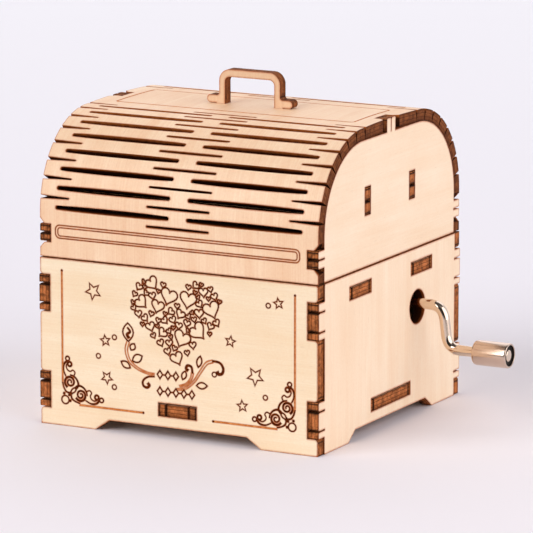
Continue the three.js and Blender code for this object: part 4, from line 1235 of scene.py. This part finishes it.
def handle():
    """The bail handle, cut in one piece with its feet and the tabs through the sheet."""
    foot_top = HANDLE_FOOT_Z + 2
    leg_in, leg_out = HANDLE_LEG
    half = [(leg_in - 1.4, HANDLE_GRIP_Z), (leg_in, HANDLE_GRIP_Z, 1.4), (leg_in, HANDLE_TAB_Z, 0.3),
            (HANDLE_TAB, HANDLE_TAB_Z, 0.3), (HANDLE_TAB, HANDLE_FOOT_Z), (HANDLE_TOE, HANDLE_FOOT_Z, 0.95),
            (HANDLE_TOE, foot_top, 0.95), (leg_out, foot_top, 0.7), (leg_out, HANDLE_TOP_Z, 3.0),
            (0.5, HANDLE_TOP_Z)]
    board("handle_board", "lid", "pale_plywood", "lid_handle", rounded(mirrored(half), 10), [],
          wooden(HANDLE_WOOD, HANDLE_EDGE), place=facing_front(-PLY / 2))


# ---- Hinges ----

def pilot_holes(v):
    """The leaf screws' holes in a board at the back, seen from behind, at that height in its drawing."""
    return [circle(-(x + side), v, 0.62, 20) for x in HINGE_X for side in (-LEAF_SCREW_X, LEAF_SCREW_X)]


def knuckle_tube(name, x0, x1):
    width = x1 - x0
    profile = eased([(KNUCKLE_BORE, width / 2), (KNUCKLE_BORE, 0), (KNUCKLE_R, 0), (KNUCKLE_R, width),
                     (KNUCKLE_BORE, width), (KNUCKLE_BORE, width / 2)], 0.14)[:-1]
    return turned(name, profile, (x0, HINGE_Y, HINGE_Z), "x", (BRASS,), 48, True)


def hinge_leaf(name, x, face, direction, knuckles):
    """A brass leaf with rounded corners, its screw holes and its rolled knuckles. direction is -1 below
    the axis and +1 above it."""
    far = HINGE_Z + direction * LEAF_LENGTH
    near = HINGE_Z + direction * 1.45
    tongue = HINGE_Z + direction * 0.35
    if len(knuckles) == 2:
        gap = knuckles[1][0]
        half = [(gap, near, 0.2), (gap, tongue), (HINGE_HALF, tongue), (HINGE_HALF, far, LEAF_CORNER)]
    else:
        arm = knuckles[0][1]
        half = [(arm, tongue), (arm, near, 0.2), (HINGE_HALF, near, 0.25), (HINGE_HALF, far, LEAF_CORNER)]
    # Seen from behind, X runs the other way.
    outline = rounded([(c[0] - x,) + c[1:] for c in mirrored(half)])
    if area_of(outline) < 0:
        outline = outline[::-1]
    screw_z = HINGE_Z + direction * LEAF_SCREW_Z
    holes = [circle(dx - x, screw_z, 0.66, 32) for dx in (LEAF_SCREW_X, -LEAF_SCREW_X)]
    leaf_plate = plate(name, outline, holes, place=lambda u, v, depth: (-u, face + LEAF - depth, v),
                       thickness=LEAF, materials=(BRASS,) * 4, smooth_angle=30, halo=0.2)
    add_bevel(leaf_plate, 0.08)
    rolls = [knuckle_tube(f"{name}_roll_{i}", x + x0, x + x1) for i, (x0, x1) in enumerate(knuckles)]
    return [leaf_plate] + rolls


def add_bevel(piece, width):
    bevel = piece.modifiers.new("soft_edges", "BEVEL")
    bevel.width = width * MM
    bevel.segments = 2
    bevel.limit_method = "ANGLE"
    bevel.angle_limit = math.radians(40)
    bevel.harden_normals = True


def hinges():
    arm = MIDDLE_KNUCKLE + KNUCKLE_GAP
    outer = ((-HINGE_HALF, -arm), (arm, HINGE_HALF))
    middle = ((-MIDDLE_KNUCKLE, MIDDLE_KNUCKLE),)
    for side, x in zip(("left", "right"), HINGE_X):
        for part in hinge_leaf(f"lower_leaf_{side}", x, HALF_DEPTH + FIT, -1, outer):
            stands_for(part, "box", f"hinge_lower_leaf_{side}")
        for part in hinge_leaf(f"upper_leaf_{side}", x, LID_DEPTH + FIT, 1, middle):
            stands_for(part, "lid", f"hinge_upper_leaf_{side}")
        length = 2 * HINGE_HALF - 0.2
        profile = eased([(0.01, 0), (HINGE_PIN_R, 0), (HINGE_PIN_R, length), (0.01, length)], 0.18)
        pin = turned(f"pin_{side}", profile, (x - length / 2, HINGE_Y, HINGE_Z), "x", (BRASS,), 40)
        stands_for(pin, "box", f"hinge_pin_{side}")
        for leaf_name, body, face, z in (("lower", "box", HALF_DEPTH, HINGE_Z - LEAF_SCREW_Z),
                                         ("upper", "lid", LID_DEPTH, HINGE_Z + LEAF_SCREW_Z)):
            for number, dx in enumerate((-LEAF_SCREW_X, LEAF_SCREW_X), 1):
                screw = screw_with_cross(f"{leaf_name}_screw_{side}_{number}_head",
                                         (x + dx, face + LEAF + 0.05, z), number * 31 + x)
                stands_for(screw, body, f"{leaf_name}_leaf_screw_{side}_{number}")


def screw_with_cross(name, place, turn):
    """A small pan-head screw along Y with a cross recess in its head."""
    profile = eased([(0.01, -2.5), (0.3, -2.2), (0.5, -1.9), (0.5, 0.0), (1.15, 0.0), (1.12, 0.22),
                     (0.9, 0.45), (0.5, 0.58), (0.01, 0.6)], 0.08)
    screw = turned(name, profile, place, "y", (BRASS,), 40)
    arm = (1.05, 0.9, 0.22)
    for quarter in (0, 90):
        slotted(screw, arm, (place[0], place[1] + 0.75, place[2]), "Y", quarter + turn)
    return screw


def slotted(screw, size, place, axis, turn):
    """Cuts a screwdriver slot: a box of that size, turned by that many degrees about the screw's axis."""
    bm = bmesh.new()
    made = bmesh.ops.create_cube(bm, size=1)["verts"]
    bmesh.ops.scale(bm, vec=Vector(size) * MM, verts=made)
    bmesh.ops.rotate(bm, matrix=Matrix.Rotation(math.radians(turn), 3, axis), verts=made)
    bmesh.ops.translate(bm, vec=at(*place), verts=made)
    cutter = linked("slot_cutter", mesh_of(bm, "slot_cutter"))
    modifier = screw.modifiers.new("slot", "BOOLEAN")
    modifier.object = cutter
    modifier.operation = "DIFFERENCE"
    modifier.solver = "EXACT"
    bpy.context.view_layer.update()
    graph = bpy.context.evaluated_depsgraph_get()
    cut = bpy.data.meshes.new_from_object(screw.evaluated_get(graph))
    screw.modifiers.clear()
    screw.data = cut
    bpy.data.objects.remove(cutter)


# ---- Crank ----

def rod_centres():
    """The bent rod's centre line. Its first and last points only give its direction there."""
    top, foot = Vector((ARM_TOP, CRANK_Z)), Vector((ARM_FOOT, CRANK_Z - THROW))
    arm = (foot - top).normalized() * ROD_BEND
    along = Vector((ROD_BEND, 0))

    def corner(a, b, c):
        return [a * (1 - t) ** 2 + b * 2 * t * (1 - t) + c * t ** 2 for t in np.linspace(0, 1, 19)]

    path = [Vector((JOURNAL_END + 0.3, CRANK_Z)), Vector((36.0, CRANK_Z))]
    path += corner(top - along, top, top + arm) + corner(foot - arm, foot, foot + along)
    return path + [Vector((56.0, foot.y)), Vector((63.7, foot.y))]


def crank_rod():
    """The rod: its turned-down journal, the bent arm and the peened end that keeps the knob on."""
    rings = []

    def section(x, z, along, radius):
        across_rod = Vector((-along.y, along.x))
        points = []
        for i in range(40):
            angle = 2 * math.pi * i / 40
            side = across_rod * (radius * math.sin(angle))
            points.append(at(x + side.x, CRANK_Y + radius * math.cos(angle), z + side.y))
        rings.append(points)

    straight = Vector((1, 0))
    journal = ((JOURNAL_START, JOURNAL_R - 0.35), (JOURNAL_START + 0.12, JOURNAL_R - 0.12),
               (JOURNAL_START + 0.35, JOURNAL_R), (JOURNAL_END, JOURNAL_R), (JOURNAL_END, ROD_R - 0.1),
               (JOURNAL_END + 0.1, ROD_R))
    for x, radius in journal:
        section(x, CRANK_Z, straight, radius)
    path = rod_centres()
    for i in range(1, len(path) - 1):
        section(*path[i], (path[i + 1] - path[i - 1]).normalized(), ROD_R)
    for back, radius in ((0.8, ROD_R), (0.55, 1.5), (0.16, 1.5), (0.05, 1.38), (0.0, 1.1), (0.0, 0.3)):
        section(ROD_END - back, CRANK_Z - THROW, straight, radius)
    rod = rings_to_object("bent_rod", rings, False, (NICKEL,))
    stands_for(rod, "crank", "crank_rod")


def knob():
    """The turned knob, its end hollowed round the rod, with painted shade in the hollow."""
    z = CRANK_Z - THROW
    profile = eased([(KNOB_BORE, 4.0), (KNOB_BORE, 0), (2.5, 0), (2.95, 0.18), (KNOB_R, 0.7),
                     (KNOB_R, KNOB_LENGTH - 0.35), (KNOB_R - 0.15, KNOB_LENGTH), (RECESS_R, KNOB_LENGTH),
                     (RECESS_R - 0.06, RECESS_X), (KNOB_BORE, RECESS_X), (KNOB_BORE, 4.0)], 0.14)[:-1]
    piece = turned("turning_knob", profile, (KNOB_X, CRANK_Y, z), "x", (SATIN_NICKEL, RECESS_PAINTED_SHADE), 96, True)
    middle = at(KNOB_X, CRANK_Y, z)
    # Painted shade: the recess's faces take the dark recess material.
    for face in piece.data.polygons:
        away = (face.center - middle) / MM
        in_end = RECESS_X - 0.05 < away.x < KNOB_LENGTH - 0.02
        face.material_index = 1 if in_end and math.hypot(away.y, away.z) < RECESS_R + 0.03 else 0
    stands_for(piece, "knob", "crank_knob")


# ---- Movement: the CAD's own solids, in metal, and finer screws and barrel ----

def coat(material, *nodes):
    """Puts a material on the CAD's own solids."""
    for node in nodes:
        for material_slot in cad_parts[node].material_slots:
            material_slot.material = material


def deck_screws():
    """The three screws that hold the movement, their slotted heads on the deck."""
    head = DECK_Z + PLY + 0.05
    profile = eased([(0.01, -4.8), (1.15, -4.6), (1.15, 0.0), (2.3, 0.0), (2.28, 0.35), (1.9, 0.85),
                     (1.1, 1.08), (0.01, 1.1)], 0.12)
    slot = (5, 0.5, 1.2)
    for number, (x, y) in enumerate(mounting_places(), 1):
        screw = turned(f"deck_screw_{number}", profile, (x, y, head), "z", (DARK_STEEL,), 56)
        slotted(screw, slot, (x, y, head + 1.15), "Z", 40 * number)
        stands_for(screw, "box", f"mounting_screw_{number}")


def barrel():
    """The pinned barrel: an open tube with a few short pins on each track."""
    inner = BARREL_R - BARREL_WALL
    length = BARREL_Y[1] - BARREL_Y[0]
    profile = eased([(inner, length / 2), (inner, 0), (BARREL_R, 0), (BARREL_R, length), (inner, length),
                     (inner, length / 2)], 0.08)[:-1]
    tube = turned("barrel_tube", profile, (BARREL_X, BARREL_Y[0], BARREL_Z), "y", (BRASS,), 96, True)
    rng = random.Random(7)
    bm = bmesh.new()
    lift = Matrix.Translation(Vector((0, 0, BARREL_R + 0.25)) * MM)
    for track in range(TRACKS):
        place = Matrix.Translation(at(BARREL_X, FIRST_TRACK_Y + TRACK_PITCH * track, BARREL_Z))
        for turn in sorted(rng.sample(range(PIN_PLACES), PINS)):
            spin = Matrix.Rotation(2 * math.pi * (turn + 0.5) / PIN_PLACES, 4, "Y")
            bmesh.ops.create_cone(bm, cap_ends=True, segments=12, radius1=0.17 * MM, radius2=0.13 * MM,
                                  depth=0.7 * MM, matrix=place @ spin @ lift)
    pins = finished("barrel_pins", mesh_of(bm, "barrel_pins"), (DARK_STEEL,), 40)
    for part in (tube, pins):
        stands_for(part, "cylinder", "pin_cylinder")


def movement():
    coat(ZINC, "movement_frame")
    coat(DARK_STEEL, "tone_comb", "bearing_bracket", "comb_screw_1", "comb_screw_2", "bracket_screw",
         "cylinder_arbor", "worm")
    coat(BRASS, "cylinder_front_cap", "cylinder_rear_cap")
    coat(NYLON, "worm_wheel")
    barrel()
    deck_screws()


# ---- The room: pale floor, soft light, camera ----

def heading(azimuth):
    """A level direction, turned from straight in front toward the crank."""
    a = math.radians(azimuth)
    return Vector((math.sin(a), -math.cos(a), 0))


def seen_from(azimuth, elevation, distance):
    """A place round the object."""
    e = math.radians(elevation)
    step = heading(azimuth) * math.cos(e) + Vector((0, 0, math.sin(e)))
    return at(*AIM) + step * (distance * MM)


def look_at_aim(thing):
    direction = at(*AIM) - thing.location
    thing.rotation_euler = direction.to_track_quat("-Z", "Y").to_euler()


def camera():
    data = bpy.data.cameras.new("photo_camera")
    data.lens = LENS
    data.sensor_width = 36
    data.clip_end = 20
    eye = linked("photo_camera", data)
    eye.location = seen_from(AZIMUTH, ELEVATION, DISTANCE)
    look_at_aim(eye)
    bpy.context.scene.camera = eye


def soft_sun(name, azimuth, elevation, strength, spread, color):
    """A broad, distant softbox."""
    data = bpy.data.lights.new(name, "SUN")
    data.energy = strength
    data.angle = math.radians(spread)
    data.color = color
    lamp = linked(name, data)
    lamp.location = seen_from(azimuth, elevation, 1000)
    look_at_aim(lamp)


def lights():
    soft_sun("left_softbox", -26, 30, 1.92, 45, (1.0, 0.99, 0.975))
    soft_sun("right_softbox", 84, 20, 1.5, 70, (1.0, 0.98, 0.97))
    soft_sun("rear_softbox", 200, 46, 0.5, 60, (0.97, 0.98, 1.0))


def room():
    """What the light comes back from: white paper behind and beside, a dark room in front, a dim ceiling."""
    world = bpy.data.worlds.new("studio")
    bpy.context.scene.world = world
    world.use_nodes = True
    s = Nodes(world.node_tree)
    direction = s.node("TexCoord").outputs["Generated"]

    def graded(toward, levels):
        """Grey by direction: each level is (0 away from that direction to 1 toward it, grey)."""
        stops = [(position, (grey, grey * 0.98, grey, 1)) for position, grey in levels]
        return s.ramp(s.toward(direction, toward, -1, 1), stops, "EASE")

    walls = graded(heading(DARK_SIDE), ((0.0, 1.0), (0.45, 0.75), (0.72, 0.7), (0.82, 0.08), (1.0, 0.03)))
    ceiling = graded((0, 0, 1), ((0.0, 1.0), (0.86, 1.0), (0.94, 0.2), (1.0, 0.12)))
    background = next(node for node in s.nodes if node.type == "BACKGROUND")
    background.inputs["Strength"].default_value = 0.9
    s.links.new(s.mix(1.0, walls, ceiling, "MULTIPLY"), background.inputs["Color"])


def floor():
    """White paper, with painted shade toward the dark end of the room and a faint painted light gradient
    toward the camera.
    """
    s = Shader("studio_floor", Roughness=0.85, Specular_IOR_Level=0.1)
    place = s.node("TexCoord").outputs["Object"]
    mottle = s.math("MULTIPLY", s.math("SUBTRACT", s.noise(place, 1.2, 2.0), 0.5), 0.04)
    # Painted light and shade: the paper's tone changes slightly with distance toward the camera.
    nearer = s.math("ADD", s.toward(place, heading(AZIMUTH), -0.7, 0.14), mottle)
    paper = s.ramp(nearer, [
        (0.0, linear(246, 245, 251)), (0.7, linear(241, 238, 245)), (1.0, linear(247, 242, 247))])
    # Painted shade: the floor turns grey toward the dark end of the room.
    s.color(s.mix(s.toward(place, heading(DARK_SIDE), 0.16, 0.4), paper, linear(150, 146, 149)))
    bm = bmesh.new()
    bmesh.ops.create_grid(bm, x_segments=8, y_segments=8, size=4.0)
    ground = finished("studio_floor", mesh_of(bm, "studio_floor"), (s.material,))
    ground.location.z = -0.00005


# ---- Everything together ----

camera()
lights()
room()
floor()
lower_box()
lid_sheet()
lid_sides()
lid_braces()
handle()
hinges()
crank_rod()
knob()
movement()

bpy.context.scene.view_settings.view_transform = "Standard"
